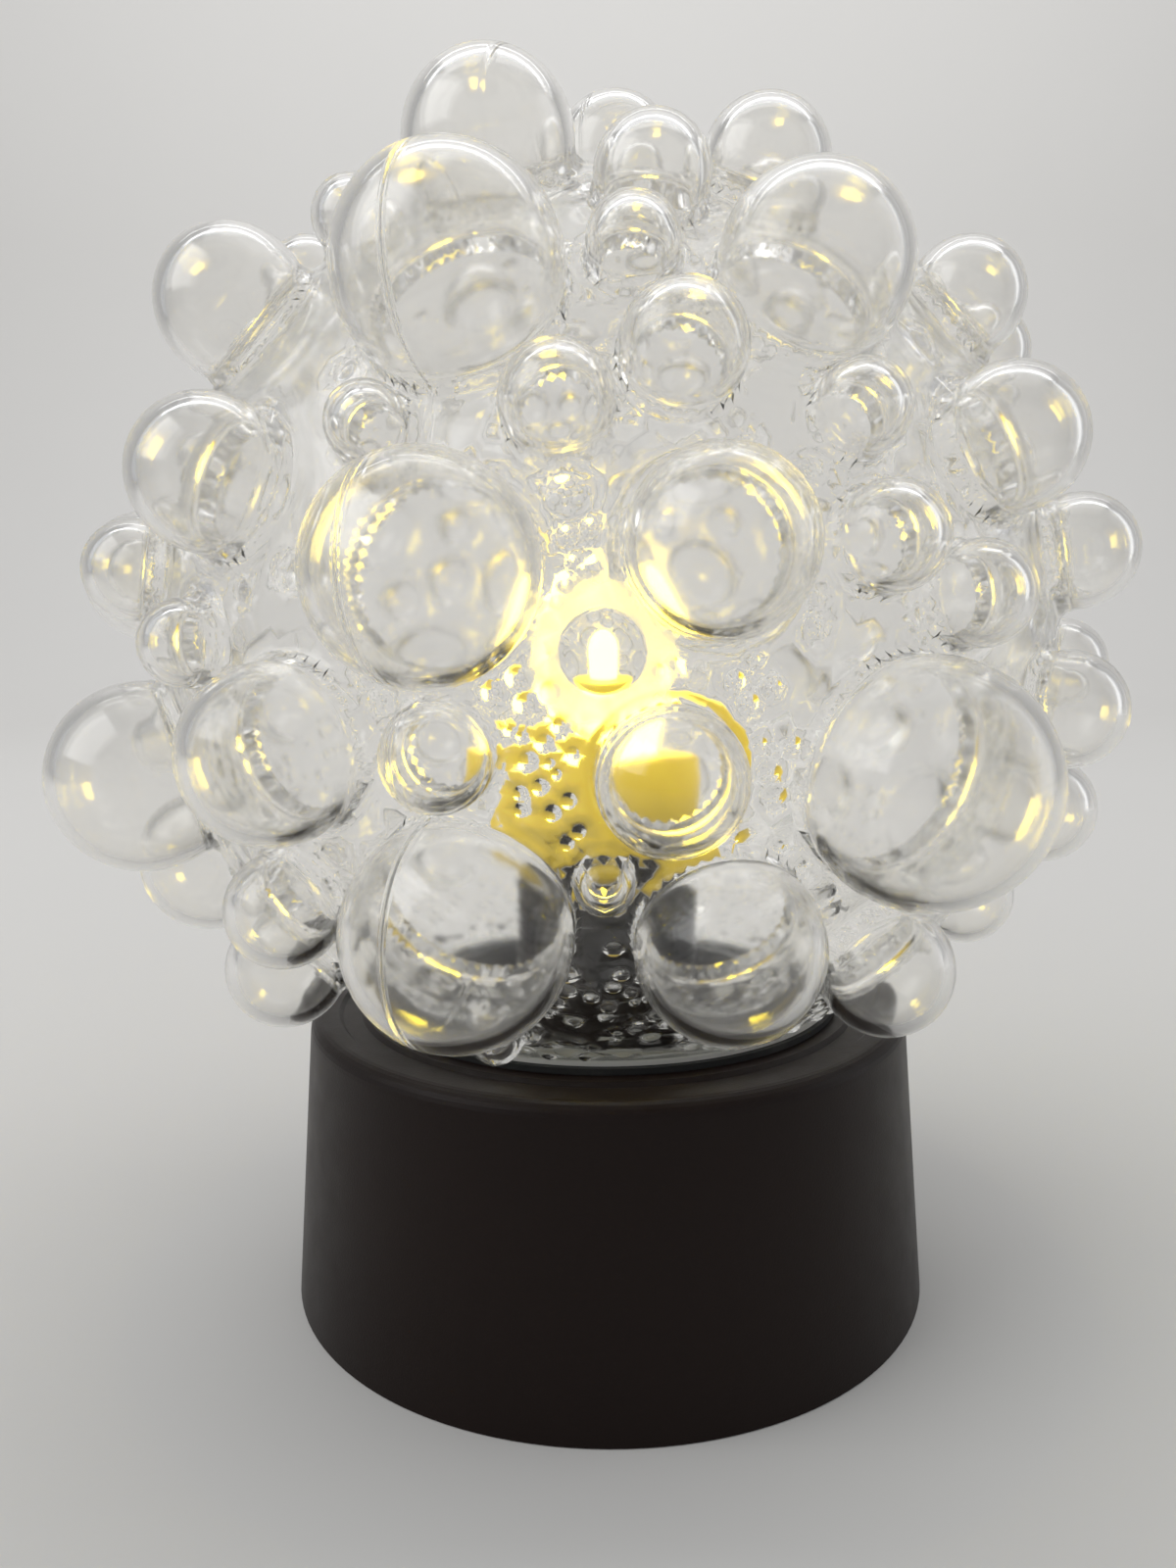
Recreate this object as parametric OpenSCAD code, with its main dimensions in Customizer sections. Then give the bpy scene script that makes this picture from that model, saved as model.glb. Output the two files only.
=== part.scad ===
// Ceiling lamp: a clear bubble-glass shade screwed into a round plastic base,
// with a bulb standing in a lampholder inside it. Modelled standing glass up on its ceiling face.
// Millimetres. +Z points away from the ceiling, -Y is the front, and the origin is the middle
// of the ceiling face.

/* [Base housing] */
// Diameter at the ceiling face
foot_d = 130; // [124:1:140]
// Diameter under the rounded rim
rim_d = 122; // [116:1:124]
// Height from the ceiling face to the rim
base_h = 57; // [55:0.5:64]
// Thickness of the side wall
base_wall = 2.5; // [2:0.5:3.5]
// Thickness of the back wall that lies on the ceiling
back_t = 3; // [2.5:0.5:4]
// Thickness of the flat rim plate
rim_t = 3; // [2.5:0.5:4]
// Rounding of the rim's outer edge
rim_round = 3; // [2:0.5:5]
// Depth of the collar that takes the glass neck
collar_h = 15; // [14:0.5:16]
// Wall of that collar
collar_wall = 3; // [2:0.5:4]

/* [Ceiling fixing] */
// Distance between the two ceiling screws
fix_pitch = 56; // [50:1:64]
// Width of each screw slot
fix_w = 5; // [4:0.5:6]
// Length of each screw slot
fix_len = 12; // [9:1:14]
// Bore of the rubber cable entry
cable_d = 8; // [6:0.5:9]

/* [Glass shade] */
// Diameter of the screw neck
neck_d = 84.5; // [83:0.5:86]
// Length of the neck inside the base
neck_h = 12; // [10:0.5:13]
// Diameter of the round body between the bubbles
core_d = 172; // [168:1:178]
// Diameter of the flat shoulder that seats on the seal
shoulder_d = 91.5; // [90:0.5:94]
// Wall of the body and the neck
glass_wall = 3; // [2.5:0.25:3.5]
// Wall of a hollow bubble
bubble_wall = 2.5; // [2:0.25:3]
// Bubbles of this radius and more are hollow, smaller ones are solid drops
hollow_r = 6; // [6:0.5:12]
// Diameter of the shallow pits on the inside
pit_d = 11.5; // [9:0.5:13]
// Depth of these pits
pit_depth = 1.3; // [1:0.1:1.6]

/* [Shade seal] */
// Thickness of the rubber gasket
gasket_t = 1.2; // [0.8:0.1:2]
// Thickness of the slip washer under the glass
washer_t = 0.8; // [0.5:0.1:1.2]

/* [Lampholder] */
// Outer diameter of the holder
holder_d = 36; // [34:0.5:38]
// Outer diameter of its threaded barrel
barrel_d = 33; // [32:0.25:33.5]
// Length of that barrel above the shoulder
barrel_h = 37; // [35:0.5:40]
// Diameter of the metal heat shield
shield_d = 62; // [56:1:64]
// Outer diameter of the ring nut
ring_nut_d = 44; // [40:1:48]
// Distance between the bracket screws
bracket_pitch = 68; // [66:1:70]
// From each of these screws to the bracket's end
bracket_end = 6; // [5:0.5:7]
// Height of the bosses under the bracket
boss_h = 17; // [16:0.5:18]

/* [Bulb] */
// Diameter of the screw cap
cap_d = 26.2; // [25.8:0.1:26.4]
// Length of the screw cap
cap_h = 22; // [21:0.5:23]
// Diameter of the white housing
bulb_housing_d = 44; // [40:0.5:48]
// Height of the white housing above the cap
bulb_housing_h = 25; // [22:0.5:28]
// Diameter of the frosted capsule
envelope_d = 18; // [15:0.5:20]
// Height of the frosted capsule
envelope_h = 32; // [28:1:40]

/* [Hidden] */
$fn = 96;

// Clearances: between seated faces, in a close fit, in a loose fit, and between neck and collar
seat = 0.05;
fit = 0.05;
loose = 0.2;
neck_clear = 0.5;
cut = 1;

// Base housing
foot_r = foot_d / 2;
rim_r = rim_d / 2;
neck_r = neck_d / 2;
collar_r = neck_r + neck_clear;
collar_lead = 1;
inner_foot_r = foot_r - base_wall;
inner_rim_r = rim_r - base_wall;
groove_t = 0.8;
boss_r = 5;
boss_top = back_t + boss_h;

// Cable entry
grommet_r = cable_d / 2 + 3;
grommet_flange_r = grommet_r + 2.5;
grommet_flange_t = 2.5;

// Bracket, its screws and the nipple on the axis
bracket_len = bracket_pitch + 2 * bracket_end;
bracket_w = 20;
bracket_t = 1.5;
bracket_lip = 2.5;
bracket_z = boss_top + seat;
bracket_top = bracket_z + bracket_t;
screw_r = 1.9;
screw_len = 14;
screw_head_r = 4;
screw_head_h = 2.4;
nipple_r = 5;
nipple_bore_r = 3.8;
nut_flats = 14;
nut_h = 4;
nipple_low = bracket_z - nut_h - 4;

// Lampholder, stacked on the bracket
holder_r = holder_d / 2;
barrel_r = barrel_d / 2;
holder_wall = 2.5;
holder_cap_z = bracket_top + seat;
holder_cap_h = 16.5;
holder_boss_r = nipple_r + 4;
nipple_top = holder_cap_z + 9.5;
holder_body_z = holder_cap_z + holder_cap_h + seat;
skirt_h = 9;
shoulder_z = holder_body_z + skirt_h;
holder_top = shoulder_z + barrel_h;
shell_r = cap_d / 2 + 1.25;
shell_wall = 0.6;
socket_r = shell_r + loose;
ledge_r = socket_r - 2;
carrier_z = shoulder_z + 3;
carrier_t = 4;
carrier_top = carrier_z + seat + carrier_t;
post_x = 9;
post_r = 2;
post_low = carrier_z - 5;
post_head_r = 2.5;
post_head_h = 0.45;
shell_z = carrier_top + seat;
shell_h = 26;
tongue_w = 5;
tongue_t = 0.5;
tongue_rise = 2.8;
tongue_z = shell_z + post_head_h + 0.3;

// Heat shield and ring nut on the barrel
shield_t = 1;
shield_lip = 2;
shield_z = shoulder_z + seat;
ring_nut_z = shield_z + shield_t + seat;
ring_nut_h = 5.5;

// Terminal block on the back wall
block = [17, 20, boss_h - 3];
block_x = -19;
block_z = back_t + seat;
pole_gap = 10;
sleeve_r = 2.55;
sleeve_bore_r = 1.6;
sleeve_z = block_z + block[2] / 2;
peg_r = 1.5;
peg_h = 9;

// Bulb, its tip just clear of the sprung tongue
cap_r = cap_d / 2;
cap_wall = 0.65;
tip_z = tongue_z + tongue_rise + 2 * seat;
tip_r = 4.6;
insulator_z = tip_z + 1.85;
cap_z = insulator_z + 4.3;
cap_top = cap_z + cap_h;
bulb_neck_r = cap_r - cap_wall - fit;
bulb_neck_h = 6;
housing_z = cap_top + seat;
housing_top = housing_z + bulb_housing_h;
housing_r = bulb_housing_d / 2;
housing_foot_r = cap_r + 1.9;
housing_wall = 1.6;
housing_round = 2;
envelope_r = envelope_d / 2;
envelope_wall = 1;
envelope_z = housing_top + seat;
side_z = envelope_z + 0.6 * envelope_h;
spigot_r = envelope_r - 1;
spigot_h = 3;
well_r = spigot_r + fit;
well_z = envelope_z - spigot_h - 1;
board_t = 1.2;
board_w = 2 * (spigot_r - envelope_wall - 1);
board_z = well_z + seat;
chip_w = board_w - 3;
chip_t = 1;

// Seal and glass, stacked on the rim
gasket_z = base_h + seat;
washer_z = gasket_z + gasket_t + seat;
seal_r = neck_r + 0.35;
gasket_r = shoulder_d / 2 + 1.5;
washer_r = shoulder_d / 2 + 0.5;
rim_flat = rim_r - rim_round - gasket_r;
groove_in_r = gasket_r + 0.25 * rim_flat;
groove_out_r = gasket_r + 0.75 * rim_flat;
glass_seat_z = washer_z + washer_t + seat;
core_r = core_d / 2;
core_z = glass_seat_z + sqrt(pow(core_r, 2) - pow(shoulder_d / 2, 2));
neck_low = base_h - neck_h;
throat = 0.9;
rise_share = 0.4;
rise_most = 6;
seam_turn = -18.5;
seam_gap = 0.05;

// Bubbles on the front, each as turn to the right, angle up, and radius, read off the photograph
front_bubbles = [
    [-24, 60, 14], [7, 50.5, 9], [32, 57, 10.5],
    [-60, 38, 13], [-50, 52, 7], [-17, 34, 16.5], [3, 39, 7], [23, 35, 14], [61, 39, 10],
    [-43, 16, 12], [-24, 20, 6], [-5, 21, 8], [7, 26, 9], [25, 21, 7], [45, 19, 11.5],
    [-69, 8, 9], [-48, 0, 7], [-16, 6, 16], [9, 8, 13], [26, 9, 8], [37, 4, 8], [66, 9, 10],
    [-68, -15, 17], [-33, -10, 13.5], [-16, -10, 8], [5, -12, 10.5],
    [30, -13, 18.5], [59, -8, 10], [65, -20, 9.5],
    [-54, -39, 10.5], [-41, -28, 9.5], [-16, -27, 17], [-19, -48, 4.5], [-1, -23, 4.5],
    [12, -29, 14], [37, -36, 11]
];
// Bubbles on the crown and the two sides, between the front and the back
side_bubbles = [
    [60, 88, 12], [95, 68, 10], [-88, 70, 9], [84, -4, 9], [86, -36, 10], [83, 36, 9],
    [-117, -8, 12], [-116, -33, 9.5], [-120, 40, 11], [122, 36, 11], [126, -14, 8]
];
// The back repeats the front's broad middle, and each side its narrow middle
back_reach = 50;
side_reach = 13;
side_step = 98;
bubbles = concat(
    front_bubbles,
    side_bubbles,
    [for (b = front_bubbles) if (abs(b[0]) <= back_reach) b + [180, 0, 0]],
    [for (s = [-side_step, side_step]) for (b = front_bubbles) if (abs(b[0]) <= side_reach) b + [s, 0, 0]]
);
// Pits inside the wall, listed like the bubbles: one shows on the front, over the bulb
pits = [for (s = [0, 180, -side_step, side_step]) [s - 1, -1, pit_d / 2]];
inside_r = core_r - glass_wall;
pit_sag = inside_r - sqrt(pow(inside_r, 2) - pow(pit_d / 2, 2)) + pit_depth;
pit_r = (pow(pit_d / 2, 2) + pow(pit_sag, 2)) / (2 * pit_sag);

// Lamp leads, through the nipple from the terminals to the holder's posts
lead_r = 0.9;
lead_sides = 8;
lead_steps = 3;
live_x = block_x - pole_gap / 2;
neutral_x = block_x + pole_gap / 2;
lead_end_z = post_low - seat;
live_route = [
    [live_x, 4, sleeve_z], [live_x, 12, sleeve_z], [-21, 19, 9], [-10, 21, 8], [0, 15, 8],
    [2.5, 6, 8], [1.5, 1, 11], [1.5, 0, 16], [1.5, 0, 24], [1.8, 0, 31], [4, 0, 36],
    [8, 0, 40], [post_x, 0, lead_end_z]
];
neutral_route = [
    [neutral_x, 4, sleeve_z], [neutral_x, 11, sleeve_z], [-11, 14, 9], [-6, 11, 8],
    [-2.5, 5, 8], [-1.5, 1, 11], [-1.5, 0, 16], [-1.5, 0, 24], [-1.8, 0, 31], [-4, 0, 36],
    [-8, 0, 40], [-post_x, 0, lead_end_z]
];

// Points of a round stretch about [x, z], from angle a to angle b
function arc(x, z, r, a, b, n) =
    [for (i = [0:n]) let (t = a + (b - a) * i / n) [x + r * cos(t), z + r * sin(t)]];

// Half outline of the capsule's round end, from its side to its top
function dome(r, z, h, n) =
    [for (i = [0:n]) let (t = 90 * i / n) [r * cos(t), z + h * sin(t)]];

// Distance of a bubble's centre from the middle of the glass body
function bubble_reach(r) = core_r + min(rise_share * r, rise_most);

// Whether a bubble reaches into the quarter of the glass that starts at seam i
function in_quarter(b, i) =
    let (wide = b[2] / (bubble_reach(b[2]) * cos(b[1])), off = b[0] - seam_turn - 90 * i - 45)
    wide >= 1 || abs(off - 360 * round(off / 360)) < 46 + asin(wide);

// Smooth curve through the points p, each span in n steps
function point(p, i) = p[max(0, min(len(p) - 1, i))];
function span(a, b, c, d, t) =
    0.5 * (2 * b + (c - a) * t + (2 * a - 5 * b + 4 * c - d) * t * t + (3 * b - a - 3 * c + d) * pow(t, 3));
function curve(p, n) = concat(
    [for (i = [0:len(p) - 2]) for (k = [0:n - 1])
        span(point(p, i - 1), p[i], p[i + 1], point(p, i + 2), k / n)],
    [p[len(p) - 1]]
);
function unit(v) = v / norm(v);
function heading(c, i) = unit(point(c, i + 1) - point(c, i - 1));

// Sideways direction at each point of a curve, carried along without twist
function sideways(c, i, v) =
    let (h = heading(c, i), s = unit(v - h * (v * h)))
    i == len(c) - 1 ? [s] : concat([s], sideways(c, i + 1, s));

// Round lead of radius r along the curve c
module lead(c, r, sides) {
    side = sideways(c, 0, [1, 0, 0]);
    last = len(c) - 1;
    rings = [for (i = [0:last]) let (h = heading(c, i), u = side[i], w = cross(h, u))
        for (k = [0:sides - 1]) c[i] + r * (cos(360 * k / sides) * u + sin(360 * k / sides) * w)];
    walls = [for (i = [0:last - 1]) for (k = [0:sides - 1])
        let (a = i * sides + k, b = i * sides + (k + 1) % sides)
        each [[a, a + sides, b], [b, a + sides, b + sides]]];
    start = [for (k = [1:sides - 2]) [0, k, k + 1]];
    end = [for (k = [1:sides - 2]) [last * sides, last * sides + k + 1, last * sides + k]];
    polyhedron(rings, concat(walls, start, end));
}

module tube(z, h, outer, inner) {
    translate([0, 0, z])
        difference() {
            cylinder(r = outer, h = h);
            translate([0, 0, -cut])
                cylinder(r = inner, h = h + 2 * cut);
        }
}

module slot(len, w, h) {
    span = len - w;
    for (s = [-1, 1])
        translate([0, s * span / 2, 0])
            cylinder(d = w, h = h);
    translate([-w / 2, -span / 2, 0])
        cube([w, span, h]);
}

// Plastic cup: back wall, tapered side, rounded rim with a groove round the seal, and the collar
// for the glass neck
module base_housing() {
    color([0.09, 0.06, 0.05])
        difference() {
            union() {
                rotate_extrude()
                    polygon(concat(
                        [[0, 0], [foot_r, 0]],
                        arc(rim_r - rim_round, base_h - rim_round, rim_round, 0, 90, 6),
                        [
                            [groove_out_r, base_h],
                            [groove_out_r - groove_t, base_h - groove_t],
                            [groove_in_r + groove_t, base_h - groove_t],
                            [groove_in_r, base_h],
                            [collar_r + collar_lead, base_h],
                            [collar_r, base_h - collar_lead],
                            [collar_r, base_h - collar_h],
                            [collar_r + collar_wall, base_h - collar_h],
                            [collar_r + collar_wall, base_h - rim_t],
                            [inner_rim_r, base_h - rim_t],
                            [inner_foot_r, back_t],
                            [0, back_t]
                        ]
                    ));
                for (s = [-1, 1])
                    translate([s * bracket_pitch / 2, 0, back_t - cut])
                        cylinder(r = boss_r, h = boss_h + cut);
                translate([block_x, 0, back_t - cut])
                    cylinder(r = peg_r, h = peg_h + cut);
            }
            translate([0, 0, -cut])
                cylinder(r = grommet_r + fit, h = back_t + 2 * cut);
            for (s = [-1, 1]) {
                translate([0, s * fix_pitch / 2, -cut])
                    slot(fix_len, fix_w, back_t + 2 * cut);
                translate([s * bracket_pitch / 2, 0, boss_top - screw_len])
                    cylinder(r = screw_r + fit, h = screw_len + cut);
            }
        }
}

// Rubber bush that lines the cable hole in the back wall
module cable_grommet() {
    color([0.05, 0.05, 0.05])
        rotate_extrude()
            polygon([
                [cable_d / 2, 0],
                [grommet_r, 0],
                [grommet_r, back_t + seat],
                [grommet_flange_r, back_t + seat],
                [grommet_flange_r, back_t + grommet_flange_t - 0.8],
                [grommet_flange_r - 0.8, back_t + grommet_flange_t],
                [cable_d / 2, back_t + grommet_flange_t]
            ]);
}

// Two-pole block on its peg, with a screw well over each end of each pole
module terminal_block() {
    color([0.85, 0.84, 0.8])
        difference() {
            translate([block_x - block[0] / 2, -block[1] / 2, block_z])
                cube(block);
            for (x = [live_x, neutral_x]) {
                translate([x, 0, sleeve_z])
                    rotate([90, 0, 0])
                        cylinder(r = sleeve_r + fit, h = block[1] + 2 * cut, center = true);
                for (s = [-1, 1])
                    translate([x, s * block[1] / 4, sleeve_z])
                        cylinder(r = 1.8, h = block[2]);
            }
            translate([block_x, 0, block_z - cut])
                cylinder(r = peg_r + fit, h = peg_h + 2 * cut);
        }
}

// Brass sleeve of one pole, tapped from above for its two clamping screws
module terminal_sleeve(x) {
    color([0.8, 0.65, 0.3])
        difference() {
            translate([x, 0, sleeve_z])
                rotate([90, 0, 0])
                    cylinder(r = sleeve_r, h = block[1] - 2, center = true);
            translate([x, 0, sleeve_z])
                rotate([90, 0, 0])
                    cylinder(r = sleeve_bore_r, h = block[1], center = true);
            for (s = [-1, 1])
                translate([x, s * block[1] / 4, sleeve_z])
                    cylinder(r = 1.2, h = sleeve_r + cut);
        }
}

module terminal_live() {
    terminal_sleeve(live_x);
}

module terminal_neutral() {
    terminal_sleeve(neutral_x);
}

// Steel strap with turned-down edges that carries the lampholder on the two bosses
module mounting_bracket() {
    lip_len = bracket_pitch - 2 * boss_r - 4;
    lip_y = bracket_w / 2 - bracket_t;
    color([0.62, 0.62, 0.6])
        difference() {
            union() {
                intersection() {
                    translate([-bracket_len / 2, -bracket_w / 2, bracket_z])
                        cube([bracket_len, bracket_w, bracket_t]);
                    translate([0, 0, bracket_z])
                        cylinder(d = bracket_len, h = bracket_t);
                }
                for (y = [lip_y, -bracket_w / 2])
                    translate([-lip_len / 2, y, bracket_z - bracket_lip])
                        cube([lip_len, bracket_t, bracket_lip + bracket_t / 2]);
            }
            translate([0, 0, bracket_z - cut])
                cylinder(r = nipple_r + fit, h = bracket_t + 2 * cut);
            for (s = [-1, 1])
                translate([s * bracket_pitch / 2, 0, bracket_z - cut])
                    cylinder(r = screw_r + loose, h = bracket_t + 2 * cut);
        }
}

// Pan-head screw with a cross recess, at x on the bracket
module bracket_screw(x) {
    color([0.7, 0.7, 0.68])
        translate([x, 0, bracket_top + seat])
            difference() {
                union() {
                    rotate_extrude()
                        polygon(concat(
                            [[0, 0], [screw_head_r, 0]],
                            arc(screw_head_r - 1.6, screw_head_h - 1.6, 1.6, 0, 90, 4),
                            [[0, screw_head_h]]
                        ));
                    translate([0, 0, 1 - screw_len])
                        cylinder(r = screw_r, h = screw_len - 0.5);
                }
                for (a = [0, 90])
                    rotate([0, 0, a])
                        translate([-2, -0.45, screw_head_h - 1.2])
                            cube([4, 0.9, 2]);
            }
}

module bracket_screw_left() {
    bracket_screw(-bracket_pitch / 2);
}

module bracket_screw_right() {
    bracket_screw(bracket_pitch / 2);
}

// Hollow threaded tube that joins the lampholder to the bracket
module nipple() {
    color([0.75, 0.72, 0.6])
        tube(nipple_low, nipple_top - nipple_low, nipple_r, nipple_bore_r);
}

module nipple_nut() {
    color([0.75, 0.72, 0.6])
        translate([0, 0, bracket_z - seat - nut_h])
            difference() {
                cylinder(d = nut_flats / cos(30), h = nut_h, $fn = 6);
                translate([0, 0, -cut])
                    cylinder(r = nipple_r + fit, h = nut_h + 2 * cut);
            }
}

// Domed foot of the lampholder, screwed on the nipple
module lampholder_cap() {
    z = holder_cap_z;
    top = z + holder_cap_h;
    inner_r = holder_r - holder_wall;
    color([0.07, 0.06, 0.06])
        rotate_extrude()
            polygon(concat(
                [[nipple_r + fit, z], [holder_boss_r, z], [holder_boss_r, z + 2.5]],
                arc(holder_boss_r, top - 4, holder_r - holder_boss_r, -85, 0, 6),
                [[holder_r, top], [inner_r, top], [inner_r, top - 3.5]],
                arc(holder_boss_r, top - 3.5, inner_r - holder_boss_r, 0, -90, 6),
                [[nipple_r + fit, top - 3.5 - inner_r + holder_boss_r]]
            ));
}

// Body of the lampholder: skirt, shoulder for the shield, and the barrel round the bulb's cap
module lampholder_body() {
    z = holder_body_z;
    color([0.07, 0.06, 0.06])
        rotate_extrude()
            polygon([
                [ledge_r, z],
                [holder_r, z],
                [holder_r, shoulder_z - 0.6],
                [holder_r - 0.6, shoulder_z],
                [barrel_r, shoulder_z],
                [barrel_r, holder_top - 1],
                [barrel_r - 0.6, holder_top],
                [socket_r + 0.6, holder_top],
                [socket_r, holder_top - 0.6],
                [socket_r, carrier_z],
                [ledge_r, carrier_z]
            ]);
}

// Insulating disc that carries the contacts on a ledge in the body
module contact_carrier() {
    color([0.88, 0.86, 0.8])
        difference() {
            translate([0, 0, carrier_z + seat])
                cylinder(r = socket_r - fit, h = carrier_t);
            for (s = [-1, 1])
                translate([s * post_x, 0, carrier_z - cut])
                    cylinder(r = post_r + fit, h = carrier_t + 3 * cut);
        }
}

// Thin metal screw shell, with a tab that lies over the neutral post
module holder_shell() {
    tab_w = 6;
    tab_in = post_x - post_r - 0.5;
    color([0.8, 0.68, 0.35])
        union() {
            tube(shell_z, shell_h, shell_r, shell_r - shell_wall);
            translate([-shell_r + shell_wall / 2, -tab_w / 2, shell_z])
                cube([shell_r - shell_wall / 2 - tab_in, tab_w, shell_wall]);
        }
}

// Rivet through the carrier that takes the live lead below and the sprung tongue above
module live_post() {
    color([0.8, 0.65, 0.3])
        union() {
            translate([post_x, 0, post_low])
                cylinder(r = post_r, h = carrier_top + seat - post_low + post_head_h / 2);
            translate([post_x, 0, carrier_top + seat])
                cylinder(r = post_head_r, h = post_head_h);
        }
}

module neutral_post() {
    color([0.8, 0.65, 0.3])
        translate([-post_x, 0, post_low])
            cylinder(r = post_r, h = carrier_top - post_low);
}

// Sprung tongue that rises from the live post to the middle, under the bulb's tip
module centre_contact() {
    z = tongue_z;
    color([0.83, 0.62, 0.32])
        translate([0, tongue_w / 2, 0])
            rotate([90, 0, 0])
                linear_extrude(tongue_w)
                    polygon([
                        [post_x + 2, z],
                        [post_x - 1.5, z],
                        [2, z + tongue_rise - tongue_t],
                        [-2, z + tongue_rise - tongue_t],
                        [-4, z + tongue_rise - 2 * tongue_t],
                        [-4.2, z + tongue_rise - tongue_t],
                        [-2.1, z + tongue_rise],
                        [2.1, z + tongue_rise],
                        [post_x - 1.4, z + tongue_t],
                        [post_x + 2, z + tongue_t]
                    ]);
}

// Light metal disc with a raised lip, clamped on the holder's shoulder
module heat_shield() {
    r = shield_d / 2;
    hole = barrel_r + fit;
    z = shield_z;
    color([0.8, 0.8, 0.78])
        rotate_extrude()
            polygon([
                [hole, z],
                [r - 1, z],
                [r, z + 1],
                [r, z + shield_t + shield_lip],
                [r - 0.9, z + shield_t + shield_lip],
                [r - 0.9, z + 1.4],
                [r - 1.3, z + shield_t],
                [hole, z + shield_t]
            ]);
}

// Plastic ring nut on the barrel, with finger grooves round its edge
module ring_nut() {
    r = ring_nut_d / 2;
    grooves = 24;
    color([0.07, 0.06, 0.06])
        difference() {
            translate([0, 0, ring_nut_z])
                rotate_extrude()
                    polygon([
                        [barrel_r + fit, 0],
                        [r, 0],
                        [r, ring_nut_h - 1],
                        [r - 1, ring_nut_h],
                        [barrel_r + fit, ring_nut_h]
                    ]);
            for (i = [0:grooves - 1])
                rotate([0, 0, 360 * i / grooves])
                    translate([r + 0.6, 0, ring_nut_z - cut])
                        cylinder(r = 1.4, h = ring_nut_h + 2 * cut);
        }
}

module live_wire() {
    color([0.35, 0.2, 0.12])
        lead(curve(live_route, lead_steps), lead_r, lead_sides);
}

module neutral_wire() {
    color([0.15, 0.3, 0.6])
        lead(curve(neutral_route, lead_steps), lead_r, lead_sides);
}

// Metal screw cap of the bulb
module bulb_cap() {
    color([0.78, 0.77, 0.74])
        tube(cap_z, cap_h, cap_r, cap_r - cap_wall);
}

// Black insulator that closes the bottom of the cap
module bulb_insulator() {
    hole = 1.5 + fit;
    color([0.05, 0.05, 0.06])
        rotate_extrude()
            polygon([
                [hole, insulator_z],
                [tip_r + 0.6, insulator_z],
                [bulb_neck_r, cap_z + 0.4],
                [bulb_neck_r, cap_z + 3],
                [hole, cap_z + 3]
            ]);
}

// Domed tip contact with its stem in the insulator
module bulb_tip() {
    color([0.8, 0.75, 0.6])
        rotate_extrude()
            polygon([
                [0, tip_z],
                [tip_r - 1.8, tip_z],
                [tip_r, tip_z + 1.1],
                [tip_r, insulator_z - seat],
                [1.5, insulator_z - seat],
                [1.5, insulator_z + 3],
                [0, insulator_z + 3]
            ]);
}

// White housing of the bulb: a neck in the cap, a wide hollow body and a well for the capsule
module bulb_housing() {
    bore = bulb_neck_r - 2;
    under = housing_top - housing_round - 0.5;
    color([0.93, 0.92, 0.88])
        rotate_extrude()
            polygon(concat(
                [
                    [bore, cap_top - bulb_neck_h],
                    [bulb_neck_r, cap_top - bulb_neck_h],
                    [bulb_neck_r, housing_z],
                    [housing_foot_r, housing_z],
                    [housing_foot_r, housing_z + 2.5],
                    [housing_r - 1, housing_z + 5],
                    [housing_r, housing_z + 6]
                ],
                arc(housing_r - housing_round, housing_top - housing_round, housing_round, 0, 90, 6),
                [
                    [well_r, housing_top],
                    [well_r, well_z],
                    [0, well_z],
                    [0, well_z - 2],
                    [well_r + housing_wall, well_z - 2],
                    [well_r + housing_wall, under],
                    [housing_r - housing_wall, under],
                    [housing_r - housing_wall, housing_z + 7],
                    [housing_foot_r - housing_wall, housing_z + 4],
                    [bore, housing_z + 4]
                ]
            ));
}

// Upright board in the capsule, its foot in the housing's well
module led_board() {
    color([0.85, 0.85, 0.83])
        translate([-board_w / 2, -board_t / 2, board_z])
            cube([board_w, board_t, side_z - board_z]);
}

module led_chip() {
    low = envelope_z + 2;
    color([0.98, 0.85, 0.3])
        translate([-chip_w / 2, -board_t / 2 - seat - chip_t, low])
            cube([chip_w, chip_t, side_z - 1 - low]);
}

// Frosted capsule of the bulb, with a spigot in the housing's well
module bulb_envelope() {
    z = envelope_z;
    w = envelope_wall;
    top_h = z + envelope_h - side_z;
    inner = dome(envelope_r - w, side_z, top_h - w, 12);
    color([1, 0.96, 0.8])
        rotate_extrude()
            polygon(concat(
                [[spigot_r - w, z - spigot_h], [spigot_r, z - spigot_h], [spigot_r, z], [envelope_r, z]],
                dome(envelope_r, side_z, top_h, 12),
                [for (i = [len(inner) - 1:-1:0]) inner[i]],
                [[envelope_r - w, z + 1], [spigot_r - w, z]]
            ));
}

module shade_gasket() {
    color([0.06, 0.06, 0.06])
        tube(gasket_z, gasket_t, gasket_r, seal_r);
}

module slip_washer() {
    color([0.9, 0.9, 0.88])
        tube(washer_z, washer_t, washer_r, seal_r);
}

// Puts a child at a bubble's centre, with its own Z pointing out of the glass
module at_bubble(b) {
    translate([0, 0, core_z])
        rotate([90 - b[1], 0, b[0]])
            translate([0, 0, bubble_reach(b[2])])
                children();
}

// Outside of the glass: body cut flat at the shoulder, neck and the bubbles in the list
module glass_outside(list) {
    union() {
        difference() {
            translate([0, 0, core_z])
                sphere(r = core_r);
            translate([0, 0, core_z - core_r - cut])
                cylinder(r = core_r, h = glass_seat_z - core_z + core_r + cut);
        }
        translate([0, 0, neck_low])
            cylinder(r = neck_r, h = glass_seat_z - neck_low + 2);
        for (b = list)
            at_bubble(b)
                sphere(r = b[2]);
    }
}

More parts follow.
